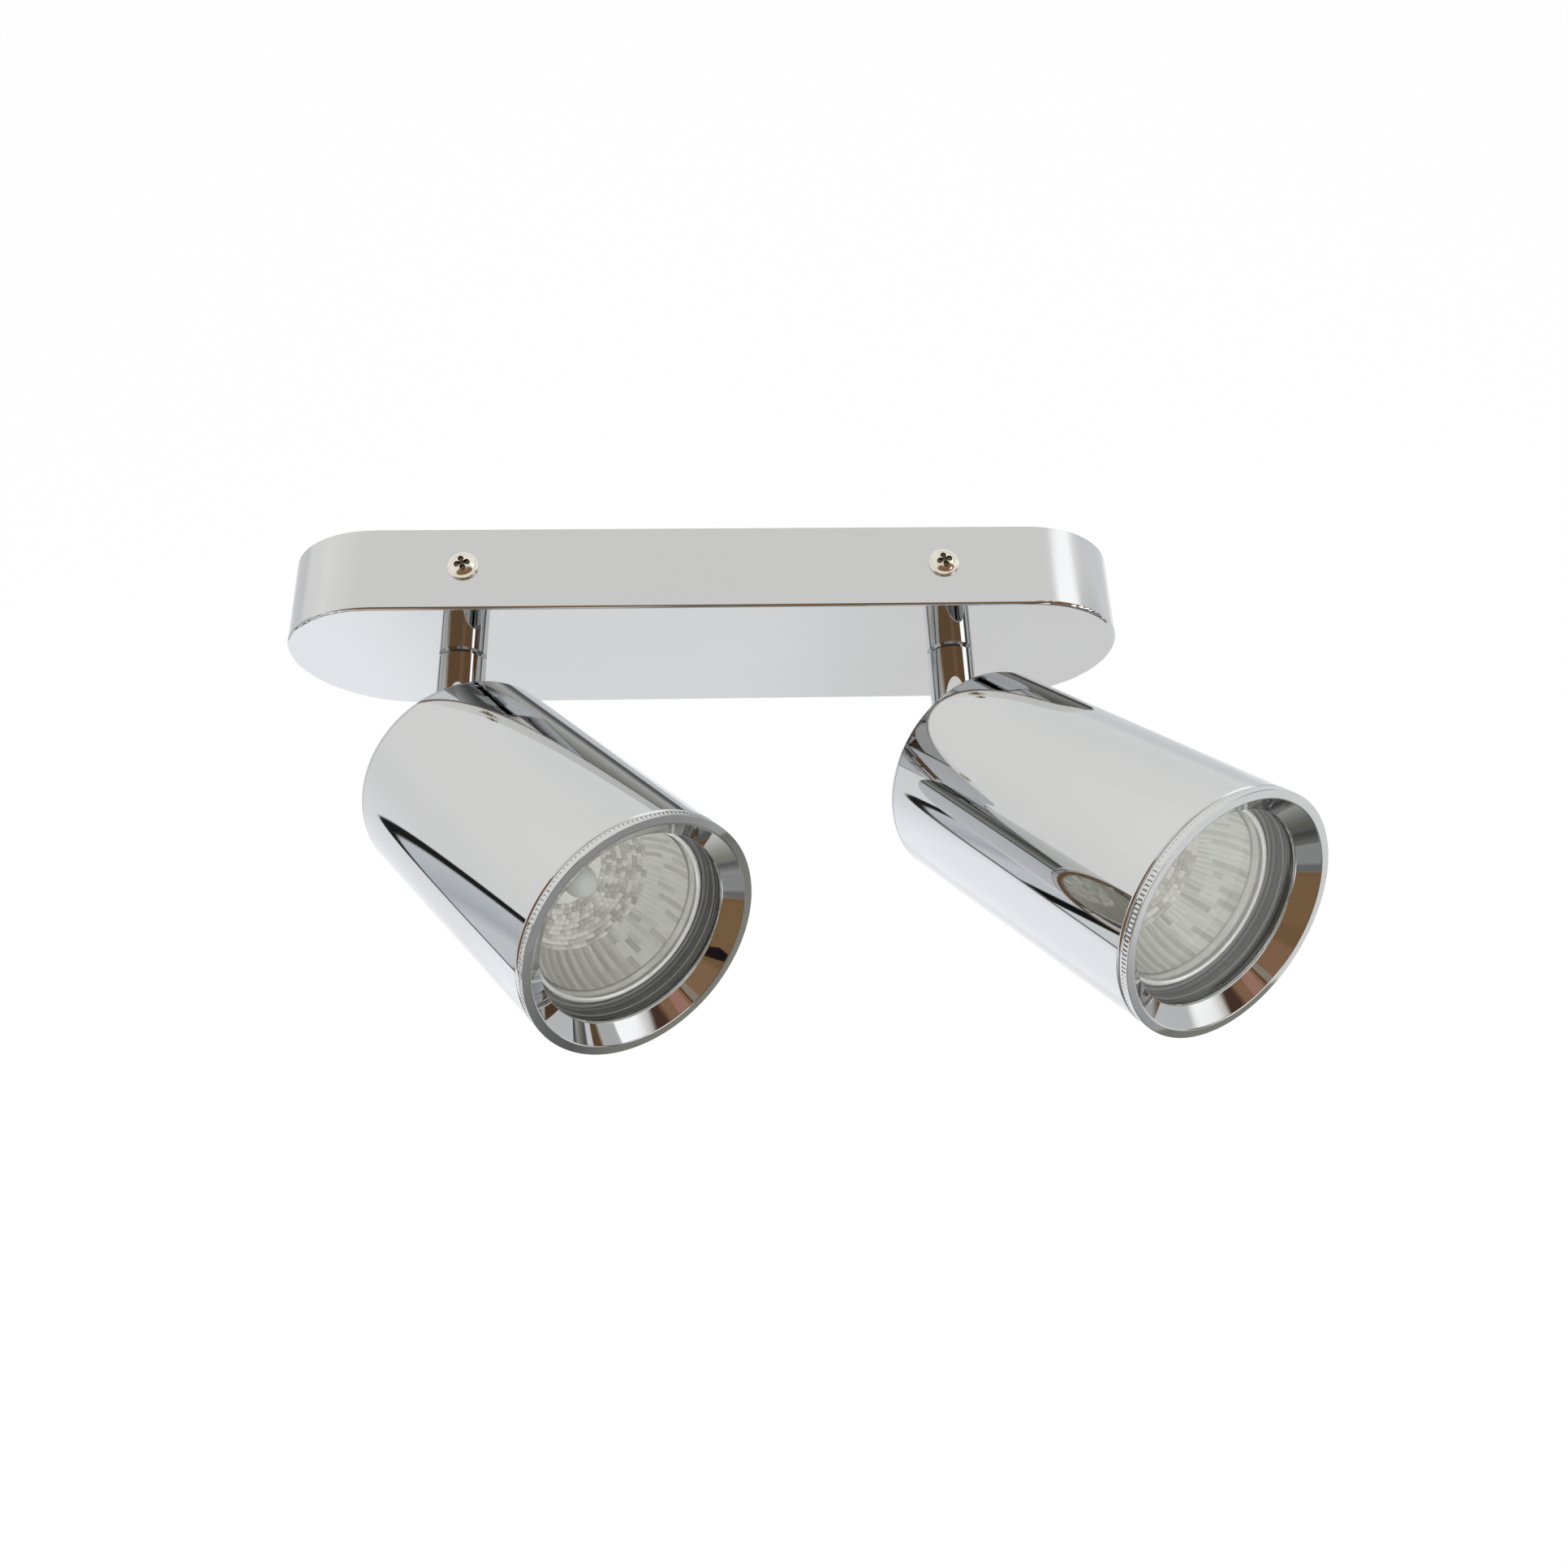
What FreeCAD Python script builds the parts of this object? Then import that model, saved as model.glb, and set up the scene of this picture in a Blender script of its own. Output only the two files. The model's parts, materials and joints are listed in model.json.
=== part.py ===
"""Twin pivoting spotlight on a chrome wall bar.

The wall is the plane Y = 0 and the lamp stands out from it towards -Y, with the
bar along X and +Z up. Each head turns about its stem and tilts on a fork hinge.
All sizes are in millimetres and angles in degrees.
"""
import FreeCAD, Part
import math
import os
import re
import Sketcher

Vector = FreeCAD.Vector

SIZES = {
    # bar: pressed cover on a folded bracket
    "bar_length": 265.0,
    "bar_width": 66.0,
    "bar_depth": 27.0,
    "bar_wall": 1.2,
    "bar_edge": 1.0,
    "fit_gap": 0.05,
    "screw_spacing": 145.0,
    "screw_depth": 12.7,
    "screw_thread": 4.0,
    "screw_length": 6.0,
    "screw_flange": 10.0,
    "screw_flange_thick": 0.8,
    "screw_dome": 7.4,
    "screw_dome_rise": 2.1,
    "screw_dome_round": 1.7,
    "recess_depth": 1.5,
    "recess_core": 1.15,
    "recess_lobe": 0.5,
    "recess_lobe_reach": 1.3,
    "bracket_thick": 1.5,
    "bracket_gap": 0.2,
    "tab_width": 22.0,
    "tab_reach": 19.0,
    "fixing_spacing": 100.0,
    "fixing_slot_length": 12.0,
    "fixing_slot_width": 5.0,
    "cable_hole": 16.0,
    "cable_bore": 11.0,
    "grommet_flange": 20.0,
    "grommet_thick": 1.6,
    "block_place": 27.0,
    "block_length": 24.0,
    "block_height": 16.0,
    "block_rise": 12.0,
    "block_pitch": 8.0,
    "block_wire_hole": 3.2,
    "block_screw": 3.0,
    "block_screw_row": 8.0,
    "block_screw_sink": 3.0,
    "block_screw_length": 2.1,
    "earth_place": 26.0,
    "earth_screw_head": 8.0,
    "earth_screw_rise": 2.4,
    "earth_lug_width": 9.5,
    "earth_lug_thick": 0.8,
    # stems and the parts that hold them in the bar
    "stem_spacing": 158.0,
    "stem_width": 15.0,
    "stem_foot": 0.9,
    "pivot_reach": 38.3,
    "tail_width": 10.0,
    "tail_length": 10.0,
    "wire_bore": 6.0,
    "spring_washer_width": 18.0,
    "spring_washer_thick": 0.8,
    "stop_washer_width": 16.5,
    "stop_washer_thick": 1.0,
    "stop_tab_reach": 12.5,
    "stop_tab_root": 7.0,
    "stop_stud_width": 3.0,
    "stop_stud_place": 10.6,
    "stop_stud_length": 3.4,
    "stop_play_angle": 1.0,
    "stem_nut_flats": 14.0,
    "stem_nut_thick": 4.0,
    "swivel_low_angle": -165.0,
    "swivel_high_angle": 105.0,
    # fork hinge between stem and head
    "fork_slot": 6.4,
    "tongue_thick": 5.2,
    "eye_radius": 6.5,
    "eye_gap": 0.1,
    "pin_width": 4.0,
    "pin_cap_width": 6.4,
    "pin_cap_thick": 1.9,
    "pin_cap_place": 4.7,
    "pin_tail": 6.4,
    "friction_washer_width": 11.5,
    "friction_washer_thick": 0.5,
    "boss_width": 20.0,
    "boss_thick": 2.7,
    "stud_width": 8.0,
    "stud_length": 7.0,
    "lead_bore": 4.6,
    "lead_exit": 3.0,
    "lead_exit_place": 6.9,
    "neck_nut_flats": 13.0,
    "neck_nut_thick": 4.0,
    # head: drawn tube, screw-on bezel, glass and lamp
    "head_gap": 10.55,
    "head_width": 66.0,
    "head_length": 98.4,
    "tube_wall": 1.5,
    "tube_edge": 1.0,
    "band_length": 2.7,
    "groove": 0.3,
    "rim_width": 2.3,
    "bevel_depth": 4.1,
    "bevel_width": 4.4,
    "lip_thick": 0.9,
    "spigot_gap": 0.1,
    "spigot_wall": 2.0,
    "spigot_length": 11.5,
    "knurl_count": 160,
    "knurl_length": 1.3,
    "knurl_depth": 0.45,
    "knurl_width": 0.9,
    "glass_gap": 0.2,
    "glass_thick": 3.0,
    "gasket_thick": 1.5,
    "gasket_setback": 0.2,
    "lamp_front": 11.6,
    "lamp_width": 50.0,
    "lamp_rim": 3.9,
    "lamp_wall": 1.4,
    "lamp_bowl_depth": 22.5,
    "lamp_neck": 22.0,
    "lamp_neck_place": 44.0,
    "lamp_glass_sink": 0.3,
    "lamp_glass_thick": 1.6,
    "capsule_width": 9.0,
    "capsule_length": 17.0,
    "lamp_base_place": 58.0,
    "lamp_base_width": 20.0,
    "pin_spacing": 10.0,
    "lamp_pin_width": 3.0,
    "lamp_pin_neck": 4.0,
    "lamp_pin_head": 5.0,
    "lamp_pin_head_length": 3.0,
    "holder_gap": 0.3,
    "holder_width": 28.0,
    "holder_length": 17.0,
    "holder_hole": 5.6,
    "holder_hole_depth": 8.0,
    "strip_thick": 1.0,
    "strip_width": 14.0,
    "strip_span": 25.0,
    "strip_foot": 6.5,
    "holder_screw_width": 3.0,
    "holder_screw_length": 5.0,
    "holder_screw_head": 5.4,
    "holder_screw_rise": 2.0,
    "holder_screw_spacing": 17.0,
    # how the two heads are aimed at rest
    "left_swivel_angle": 41.6,
    "left_tilt_angle": 51.8,
    "right_swivel_angle": 56.3,
    "right_tilt_angle": 50.9,
}

# two lengths closer than this are one place when edges are looked up
SAME_PLACE = 0.0001

FRONT = "(head_gap + head_length)"
SHADE_RADIUS = "(head_width / 2)"
TUBE_BORE = "(head_width / 2 - tube_wall)"
SPIGOT_BORE = "(head_width / 2 - tube_wall - spigot_gap - spigot_wall)"
MOUTH_RADIUS = "(head_width / 2 - rim_width - bevel_width)"
GLASS_BACK = "(head_gap + head_length - bevel_depth - lip_thick - glass_thick)"
LAMP_FACE = "(head_gap + head_length - lamp_front)"
LAMP_CENTRE = "(head_gap + head_length - lamp_front - lamp_rim)"
LAMP_END = "(head_gap + head_length - lamp_base_place)"
HOLDER_END = "(head_gap + head_length - lamp_base_place - holder_gap - holder_length)"

doc = FreeCAD.newDocument("twin_spotlight")
sheet = doc.addObject("Spreadsheet::Sheet", "sizes")
for row, (alias, number) in enumerate(SIZES.items(), 1):
    sheet.set("A%d" % row, alias)
    sheet.set("B%d" % row, str(number))
    sheet.setAlias("B%d" % row, alias)
doc.recompute()

parts = []


def bound(text):
    """Write a formula of size names as an expression on the sheet."""
    return re.sub(r"[a-z][a-z_]*", lambda m: "sizes." + m.group() if m.group() in SIZES else m.group(), text)


def value(text):
    return float(sheet.evalExpression(bound(text)))


def keep(item, label, placement=None):
    """Name a finished sub-part and put it in its place."""
    item.Label = label
    if placement is not None:
        item.Placement = placement
    parts.append(item)
    return item


# sketches


def origin_item(body, role):
    return [item for item in body.Origin.OriginFeatures if item.Role == role][0]


def new_sketch(body, plane, offset=None):
    sketch = body.newObject("Sketcher::SketchObject", "sketch")
    sketch.AttachmentSupport = (origin_item(body, plane), [""])
    sketch.MapMode = "FlatFace"
    if offset is not None:
        sketch.setExpression("AttachmentOffset.Base.z", bound(offset))
    return sketch


def pin_point(sketch, geometry, point, across, up):
    """Tie one sketch point to formulas; None leaves a coordinate to an arc."""
    for kind, text in (("DistanceX", across), ("DistanceY", up)):
        if text is not None:
            index = sketch.addConstraint(Sketcher.Constraint(kind, geometry, point, value(text)))
            sketch.setExpression("Constraints[%d]" % index, bound(text))


def draw_profile(sketch, corners, arcs=None):
    """Closed outline through corners (across, up); arcs maps a segment to its centre.

    A third entry "y" leaves the height of a corner to the arc that ends there.
    """
    arcs = arcs or {}
    spots = [Vector(value(c[0]), value(c[1]), 0) for c in corners]
    ends = []
    for i, start in enumerate(spots):
        end = spots[(i + 1) % len(spots)]
        if i not in arcs:
            sketch.addGeometry(Part.LineSegment(start, end), False)
            ends.append((1, 2))
            continue
        centre = Vector(value(arcs[i][0]), value(arcs[i][1]), 0)
        first = math.atan2(start.y - centre.y, start.x - centre.x)
        last = math.atan2(end.y - centre.y, end.x - centre.x)
        turn = (last - first) % (2 * math.pi)
        circle = Part.Circle(centre, Vector(0, 0, 1), (start - centre).Length)
        if turn <= math.pi:
            sketch.addGeometry(Part.ArcOfCircle(circle, first, first + turn), False)
            ends.append((1, 2))
        else:
            sketch.addGeometry(Part.ArcOfCircle(circle, last, first), False)
            ends.append((2, 1))
    for i in range(len(spots)):
        after = (i + 1) % len(spots)
        sketch.addConstraint(Sketcher.Constraint("Coincident", i, ends[i][1], after, ends[after][0]))
    for i, corner in enumerate(corners):
        up = corner[1] if len(corner) == 2 else None
        pin_point(sketch, i, ends[i][0], corner[0], up)
    for i, centre in arcs.items():
        pin_point(sketch, i, 3, centre[0], centre[1])


def draw_circle(sketch, radius, across="0", up="0"):
    centre = Vector(value(across), value(up), 0)
    geometry = sketch.addGeometry(Part.Circle(centre, Vector(0, 0, 1), value(radius)), False)
    index = sketch.addConstraint(Sketcher.Constraint("Radius", geometry, value(radius)))
    sketch.setExpression("Constraints[%d]" % index, bound(radius))
    pin_point(sketch, geometry, 3, across, up)


def draw_stadium(sketch, length, width, across="0"):
    """Two straight sides joined by half circles, centred at (across, 0)."""
    radius = value(width) / 2
    middle = value(across)
    reach = value(length) / 2 - radius
    first = sketch.GeometryCount
    east = Vector(middle + reach, 0, 0)
    west = Vector(middle - reach, 0, 0)
    rise = Vector(0, radius, 0)
    facing = Vector(0, 0, 1)
    quarter = math.pi / 2
    sketch.addGeometry(Part.LineSegment(west + rise, east + rise), False)
    sketch.addGeometry(Part.ArcOfCircle(Part.Circle(east, facing, radius), -quarter, quarter), False)
    sketch.addGeometry(Part.LineSegment(east - rise, west - rise), False)
    sketch.addGeometry(Part.ArcOfCircle(Part.Circle(west, facing, radius), quarter, 3 * quarter), False)
    joins = ((0, 2, 1, 2), (1, 1, 2, 1), (2, 2, 3, 2), (3, 1, 0, 1))
    for one, end, other, start in joins:
        sketch.addConstraint(Sketcher.Constraint("Coincident", first + one, end, first + other, start))
    right = "%s + (%s - %s) / 2" % (across, length, width)
    left = "%s - (%s - %s) / 2" % (across, length, width)
    pin_point(sketch, first + 1, 3, right, "0")
    pin_point(sketch, first + 3, 3, left, "0")
    for arc in (1, 3):
        index = sketch.addConstraint(Sketcher.Constraint("Radius", first + arc, radius))
        sketch.setExpression("Constraints[%d]" % index, bound("%s / 2" % width))
    for line, point, place in ((0, 1, left), (0, 2, right), (2, 1, right), (2, 2, left)):
        pin_point(sketch, first + line, point, place, None)


def draw_rectangle(sketch, left, right, low, high):
    draw_profile(sketch, [(left, low), (right, low), (right, high), (left, high)])


# features


def new_body(name):
    return doc.addObject("PartDesign::Body", name)


def add_feature(body, kind, sketch, length=None, back=False, both=False, through=False):
    feature = body.newObject("PartDesign::" + kind, kind.lower())
    feature.Profile = sketch
    if length is not None:
        feature.setExpression("Length", bound(length))
    if both:
        feature.SideType = "Symmetric"
    if through:
        feature.Type = "ThroughAll"
    feature.Reversed = back
    return feature


def pad(body, sketch, length, back=False, both=False):
    return add_feature(body, "Pad", sketch, length, back, both)


def pocket(body, sketch, length=None, back=False, both=False):
    return add_feature(body, "Pocket", sketch, length, back, both, through=length is None)


def revolve(body, corners, arcs=None):
    """Turn a profile of (radius, height) corners about the body's own Z axis."""
    sketch = new_sketch(body, "XZ_Plane")
    draw_profile(sketch, corners, arcs)
    turned = body.newObject("PartDesign::Revolution", "turned")
    turned.Profile = sketch
    turned.ReferenceAxis = (sketch, ["V_Axis"])
    turned.Angle = 360
    return turned


def dress(body, kind, feature, size, chosen):
    """Fillet or chamfer the edges of a feature that the chosen test picks."""
    doc.recompute()
    names = ["Edge%d" % (i + 1) for i, edge in enumerate(feature.Shape.Edges) if chosen(edge)]
    dressed = body.newObject("PartDesign::" + kind, kind.lower())
    dressed.Base = (feature, names)
    dressed.setExpression("Radius" if kind == "Fillet" else "Size", bound(size))
    body.Tip = dressed
    return dressed


def polar(body, feature, count, axis="Z_Axis"):
    pattern = body.newObject("PartDesign::PolarPattern", "pattern")
    pattern.Originals = [feature]
    pattern.Axis = (origin_item(body, axis), [""])
    pattern.Angle = 360
    pattern.setExpression("Occurrences", bound(count))
    body.Tip = pattern
    return pattern


def is_ring(radius, height):
    """Test for a full circle of this radius about Z at this height."""

    def test(edge):
        if edge.Degenerated or edge.Curve.TypeId != "Part::GeomCircle":
            return False
        curve = edge.Curve
        return abs(curve.Radius - radius) < SAME_PLACE and abs(curve.Center.z - height) < SAME_PLACE

    return test


def turned_part(label, corners, arcs=None, placement=None):
    body = new_body(label)
    revolve(body, corners, arcs)
    return keep(body, label, placement)


def washer(label, bore, outer, low, high, placement):
    return turned_part(label, [(bore, low), (outer, low), (outer, high), (bore, high)], None, placement)


def hex_nut(label, flats, bore, low, thick, placement):
    body = new_body(label)
    sketch = new_sketch(body, "XY_Plane", low)
    half = "(%s / 2)" % flats
    point = "(%s / sqrt(3))" % flats
    draw_profile(sketch, [
        (point, "0"),
        (point + " / 2", half),
        ("-" + point + " / 2", half),
        ("-" + point, "0"),
        ("-" + point + " / 2", "-" + half),
        (point + " / 2", "-" + half),
    ])
    pad(body, sketch, thick)
    hole = new_sketch(body, "XY_Plane", low)
    draw_circle(hole, bore)
    pocket(body, hole, thick, back=True)
    return keep(body, label, placement)


def group(label, shapes):
    """Identical fasteners as one sub-part of separate solids."""
    feature = doc.addObject("Part::Feature", label)
    feature.Shape = Part.makeCompound(shapes)
    return keep(feature, label)


def copies(body, placements):
    doc.recompute()
    made = []
    for placement in placements:
        shape = body.Shape.copy()
        shape.Placement = placement.multiply(shape.Placement)
        made.append(shape)
    return made


# the bar


def make_base_cover():
    body = new_body("base_cover")
    outline = new_sketch(body, "XZ_Plane")
    draw_stadium(outline, "bar_length", "bar_width")
    shell = pad(body, outline, "bar_depth")
    front = -value("bar_depth")

    def in_front(edge):
        return all(abs(vertex.Y - front) < SAME_PLACE for vertex in edge.Vertexes)

    shell = dress(body, "Fillet", shell, "bar_edge", in_front)
    inside = new_sketch(body, "XZ_Plane")
    draw_stadium(inside, "(bar_length - 2 * bar_wall)", "(bar_width - 2 * bar_wall)")
    pocket(body, inside, "bar_depth - bar_wall", back=True)
    stems = new_sketch(body, "XZ_Plane")
    for side in ("-", ""):
        draw_circle(stems, "tail_width / 2 + fit_gap", side + "stem_spacing / 2")
    pocket(body, stems, "bar_depth", back=True)
    sides = new_sketch(body, "XY_Plane")
    for side in ("-", ""):
        draw_circle(sides, "screw_thread / 2 + fit_gap", side + "screw_spacing / 2", "-screw_depth")
    pocket(body, sides, "2 * bar_width", both=True)
    keep(body, "base_cover")


def make_wall_bracket():
    body = new_body("wall_bracket")
    fold = new_sketch(body, "YZ_Plane")
    edge = "(bar_width / 2 - bar_wall - bracket_gap)"
    inner = "(bar_width / 2 - bar_wall - bracket_gap - bracket_thick)"
    draw_profile(fold, [
        ("0", "-" + edge),
        ("0", edge),
        ("-tab_reach", edge),
        ("-tab_reach", inner),
        ("-bracket_thick", inner),
        ("-bracket_thick", "-" + inner),
        ("-tab_reach", "-" + inner),
        ("-tab_reach", "-" + edge),
    ])
    pad(body, fold, "screw_spacing + tab_width", both=True)
    gap = new_sketch(body, "XY_Plane")
    middle = "((screw_spacing - tab_width) / 2)"
    draw_rectangle(gap, "-" + middle, middle, "-2 * tab_reach", "-bracket_thick")
    pocket(body, gap, "bar_width", both=True)
    threads = new_sketch(body, "XY_Plane")
    for side in ("-", ""):
        draw_circle(threads, "screw_thread / 2 + fit_gap", side + "screw_spacing / 2", "-screw_depth")
    pocket(body, threads, "bar_width", both=True)
    holes = new_sketch(body, "XZ_Plane")
    for side in ("-", ""):
        draw_stadium(holes, "fixing_slot_length", "fixing_slot_width", side + "fixing_spacing / 2")
    draw_circle(holes, "cable_hole / 2")
    draw_circle(holes, "screw_thread / 2 + fit_gap", "-earth_place")
    pocket(body, holes, "bracket_thick", back=True)
    keep(body, "wall_bracket")


def make_cover_screws():
    body = new_body("cover_screw")
    turned = revolve(body, [
        ("0", "-screw_length"),
        ("screw_thread / 2", "-screw_length"),
        ("screw_thread / 2", "0"),
        ("screw_flange / 2", "0"),
        ("screw_flange / 2", "screw_flange_thick"),
        ("screw_dome / 2", "screw_flange_thick"),
        ("screw_dome / 2", "screw_flange_thick + screw_dome_rise"),
        ("0", "screw_flange_thick + screw_dome_rise"),
    ])
    top = value("screw_flange_thick + screw_dome_rise")
    dress(body, "Fillet", turned, "screw_dome_round", is_ring(value("screw_dome / 2"), top))
    core = new_sketch(body, "XY_Plane", "screw_flange_thick + screw_dome_rise")
    draw_circle(core, "recess_core")
    pocket(body, core, "recess_depth")
    lobe = new_sketch(body, "XY_Plane", "screw_flange_thick + screw_dome_rise")
    draw_circle(lobe, "recess_lobe", "recess_lobe_reach")
    cut = pocket(body, lobe, "recess_depth")
    doc.recompute()
    polar(body, cut, "6")
    half = value("bar_width / 2")
    along = value("screw_spacing / 2")
    deep = -value("screw_depth")
    places = []
    for side in (-1, 1):
        for way in (-1, 1):
            turn = FreeCAD.Rotation(Vector(1, 0, 0), 0 if way > 0 else 180)
            places.append(FreeCAD.Placement(Vector(side * along, deep, way * half), turn))
    group("cover_screws", copies(body, places))


def make_wiring():
    """Terminal block, earth point and the rubber bush of the supply cable."""
    block = new_body("terminal_block")
    outline = new_sketch(block, "XZ_Plane", "bracket_thick")
    left = "(block_place - block_length / 2)"
    right = "(block_place + block_length / 2)"
    draw_rectangle(outline, left, right, "-block_height / 2", "block_height / 2")
    pad(block, outline, "block_rise")
    wires = new_sketch(block, "XY_Plane")
    wells = new_sketch(block, "XZ_Plane", "bracket_thick + block_rise")
    spots = []
    for pole in (-1, 0, 1):
        across = "(block_place + %d * block_pitch)" % pole
        draw_circle(wires, "block_wire_hole / 2", across, "-(bracket_thick + block_rise / 2)")
        for row in ("-", ""):
            draw_circle(wells, "block_screw / 2 + fit_gap", across, row + "block_screw_row / 2")
            spots.append((value(across), value(row + "block_screw_row / 2")))
    pocket(block, wires, "2 * block_height", both=True)
    pocket(block, wells, "block_screw_sink")
    keep(block, "terminal_block")
    radius = value("block_screw / 2")
    deep = value("bracket_thick + block_rise - block_screw_sink")
    length = value("block_screw_length")
    screws = [Part.makeCylinder(radius, length, Vector(x, -deep, z), Vector(0, -1, 0)) for x, z in spots]
    group("terminal_screws", screws)

    facing = FreeCAD.Rotation(Vector(1, 0, 0), 90)
    earth = FreeCAD.Placement(Vector(-value("earth_place"), 0, 0), facing)
    turned_part("earth_screw", [
        ("0", "0"),
        ("screw_thread / 2", "0"),
        ("screw_thread / 2", "bracket_thick + earth_lug_thick"),
        ("earth_screw_head / 2", "bracket_thick + earth_lug_thick"),
        ("earth_screw_head / 2", "bracket_thick + earth_lug_thick + earth_screw_rise"),
        ("0", "bracket_thick + earth_lug_thick + earth_screw_rise"),
    ], None, earth)
    washer("earth_lug", "screw_thread / 2 + fit_gap", "earth_lug_width / 2", "bracket_thick",
           "bracket_thick + earth_lug_thick", earth)
    turned_part("cable_grommet", [
        ("cable_bore / 2", "0"),
        ("cable_hole / 2", "0"),
        ("cable_hole / 2", "bracket_thick"),
        ("grommet_flange / 2", "bracket_thick"),
        ("grommet_flange / 2", "bracket_thick + grommet_thick"),
        ("cable_bore / 2", "bracket_thick + grommet_thick"),
    ], None, FreeCAD.Placement(Vector(0, 0, 0), facing))


def make_stop_studs():
    """One stud behind the cover per stem, opposite the middle of its free turn."""
    angle = math.radians((value("swivel_low_angle") + value("swivel_high_angle")) / 2 + 180)
    reach = value("stop_stud_place")
    radius = value("stop_stud_width / 2")
    length = value("stop_stud_length")
    offset = Vector(reach * math.cos(angle), -value("bar_depth - bar_wall"), reach * math.sin(angle))
    studs = []
    for side in (-1, 1):
        stem = Vector(side * value("stem_spacing / 2"), 0, 0)
        studs.append(Part.makeCylinder(radius, length, stem + offset, Vector(0, 1, 0)))
    group("stop_studs", studs)


# one stem with its hinge fork, in its own frame: foot at the origin, +Z outward, hinge pin along X


def make_stem(side, place):
    body = new_body(side + "_stem")
    turned = revolve(body, [
        ("0", "-tail_length"),
        ("tail_width / 2", "-tail_length"),
        ("tail_width / 2", "fit_gap"),
        ("stem_width / 2", "fit_gap"),
        ("stem_width / 2", "pivot_reach"),
        ("0", "pivot_reach + stem_width / 2", "y"),
    ], {4: ("0", "pivot_reach")})
    foot = is_ring(value("stem_width / 2"), value("fit_gap"))
    dress(body, "Chamfer", turned, "stem_foot", foot)
    bore = new_sketch(body, "XY_Plane", "-tail_length")
    draw_circle(bore, "wire_bore / 2")
    pocket(body, bore, "tail_length + pivot_reach - eye_radius", back=True)
    slot = new_sketch(body, "XZ_Plane")
    draw_rectangle(slot, "-fork_slot / 2", "fork_slot / 2", "pivot_reach - eye_radius - eye_gap",
                   "pivot_reach + stem_width")
    pocket(body, slot, "2 * stem_width", both=True)
    pin = new_sketch(body, "YZ_Plane")
    draw_circle(pin, "pin_width / 2 + fit_gap", "0", "pivot_reach")
    pocket(body, pin, "2 * stem_width", both=True)
    cap = new_sketch(body, "YZ_Plane", "pin_cap_place")
    draw_circle(cap, "pin_cap_width / 2 + fit_gap", "0", "pivot_reach")
    pocket(body, cap, "stem_width", back=True)
    keep(body, side + "_stem", place)

    under = "(-bar_wall)"
    low = "(-bar_wall - spring_washer_thick)"
    lower = "(-bar_wall - spring_washer_thick - stop_washer_thick)"
    bore_radius = "tail_width / 2 + fit_gap"
    washer(side + "_spring_washer", bore_radius, "spring_washer_width / 2", low, under, place)
    stop = new_body(side + "_stop_washer")
    revolve(stop, [
        (bore_radius, lower),
        ("stop_washer_width / 2", lower),
        ("stop_washer_width / 2", low),
        (bore_radius, low),
    ])
    half_stud = math.degrees(math.asin(value("stop_stud_width / 2") / value("stop_stud_place")))
    travel = value("swivel_high_angle - swivel_low_angle")
    half_tab = math.radians((360 - travel) / 2 - half_stud - value("stop_play_angle"))
    tab = new_sketch(stop, "XY_Plane", lower)
    inner = "%.9f * stop_tab_root"
    outer = "%.9f * stop_tab_reach"
    east, north = math.sin(half_tab), -math.cos(half_tab)
    draw_profile(tab, [
        (inner % -east, inner % north),
        (outer % -east, outer % north),
        (outer % east, outer % north, "y"),
        (inner % east, inner % north),
    ], {1: ("0", "0")})
    pad(stop, tab, "stop_washer_thick")
    keep(stop, side + "_stop_washer", place)
    hex_nut(side + "_stem_nut", "stem_nut_flats", bore_radius,
            lower + " - stem_nut_thick", "stem_nut_thick", place)

    across = FreeCAD.Placement(Vector(0, 0, value("pivot_reach")), FreeCAD.Rotation(Vector(0, 1, 0), 90))
    turned_part(side + "_hinge_screw", [
        ("0", "-pin_tail"),
        ("pin_width / 2", "-pin_tail"),
        ("pin_width / 2", "pin_cap_place"),
        ("pin_cap_width / 2", "pin_cap_place"),
        ("pin_cap_width / 2", "pin_cap_place + pin_cap_thick"),
        ("0", "pin_cap_place + pin_cap_thick"),
    ], None, place.multiply(across))


# one head in its own frame: hinge pin along X through the origin, +Z along the light


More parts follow.
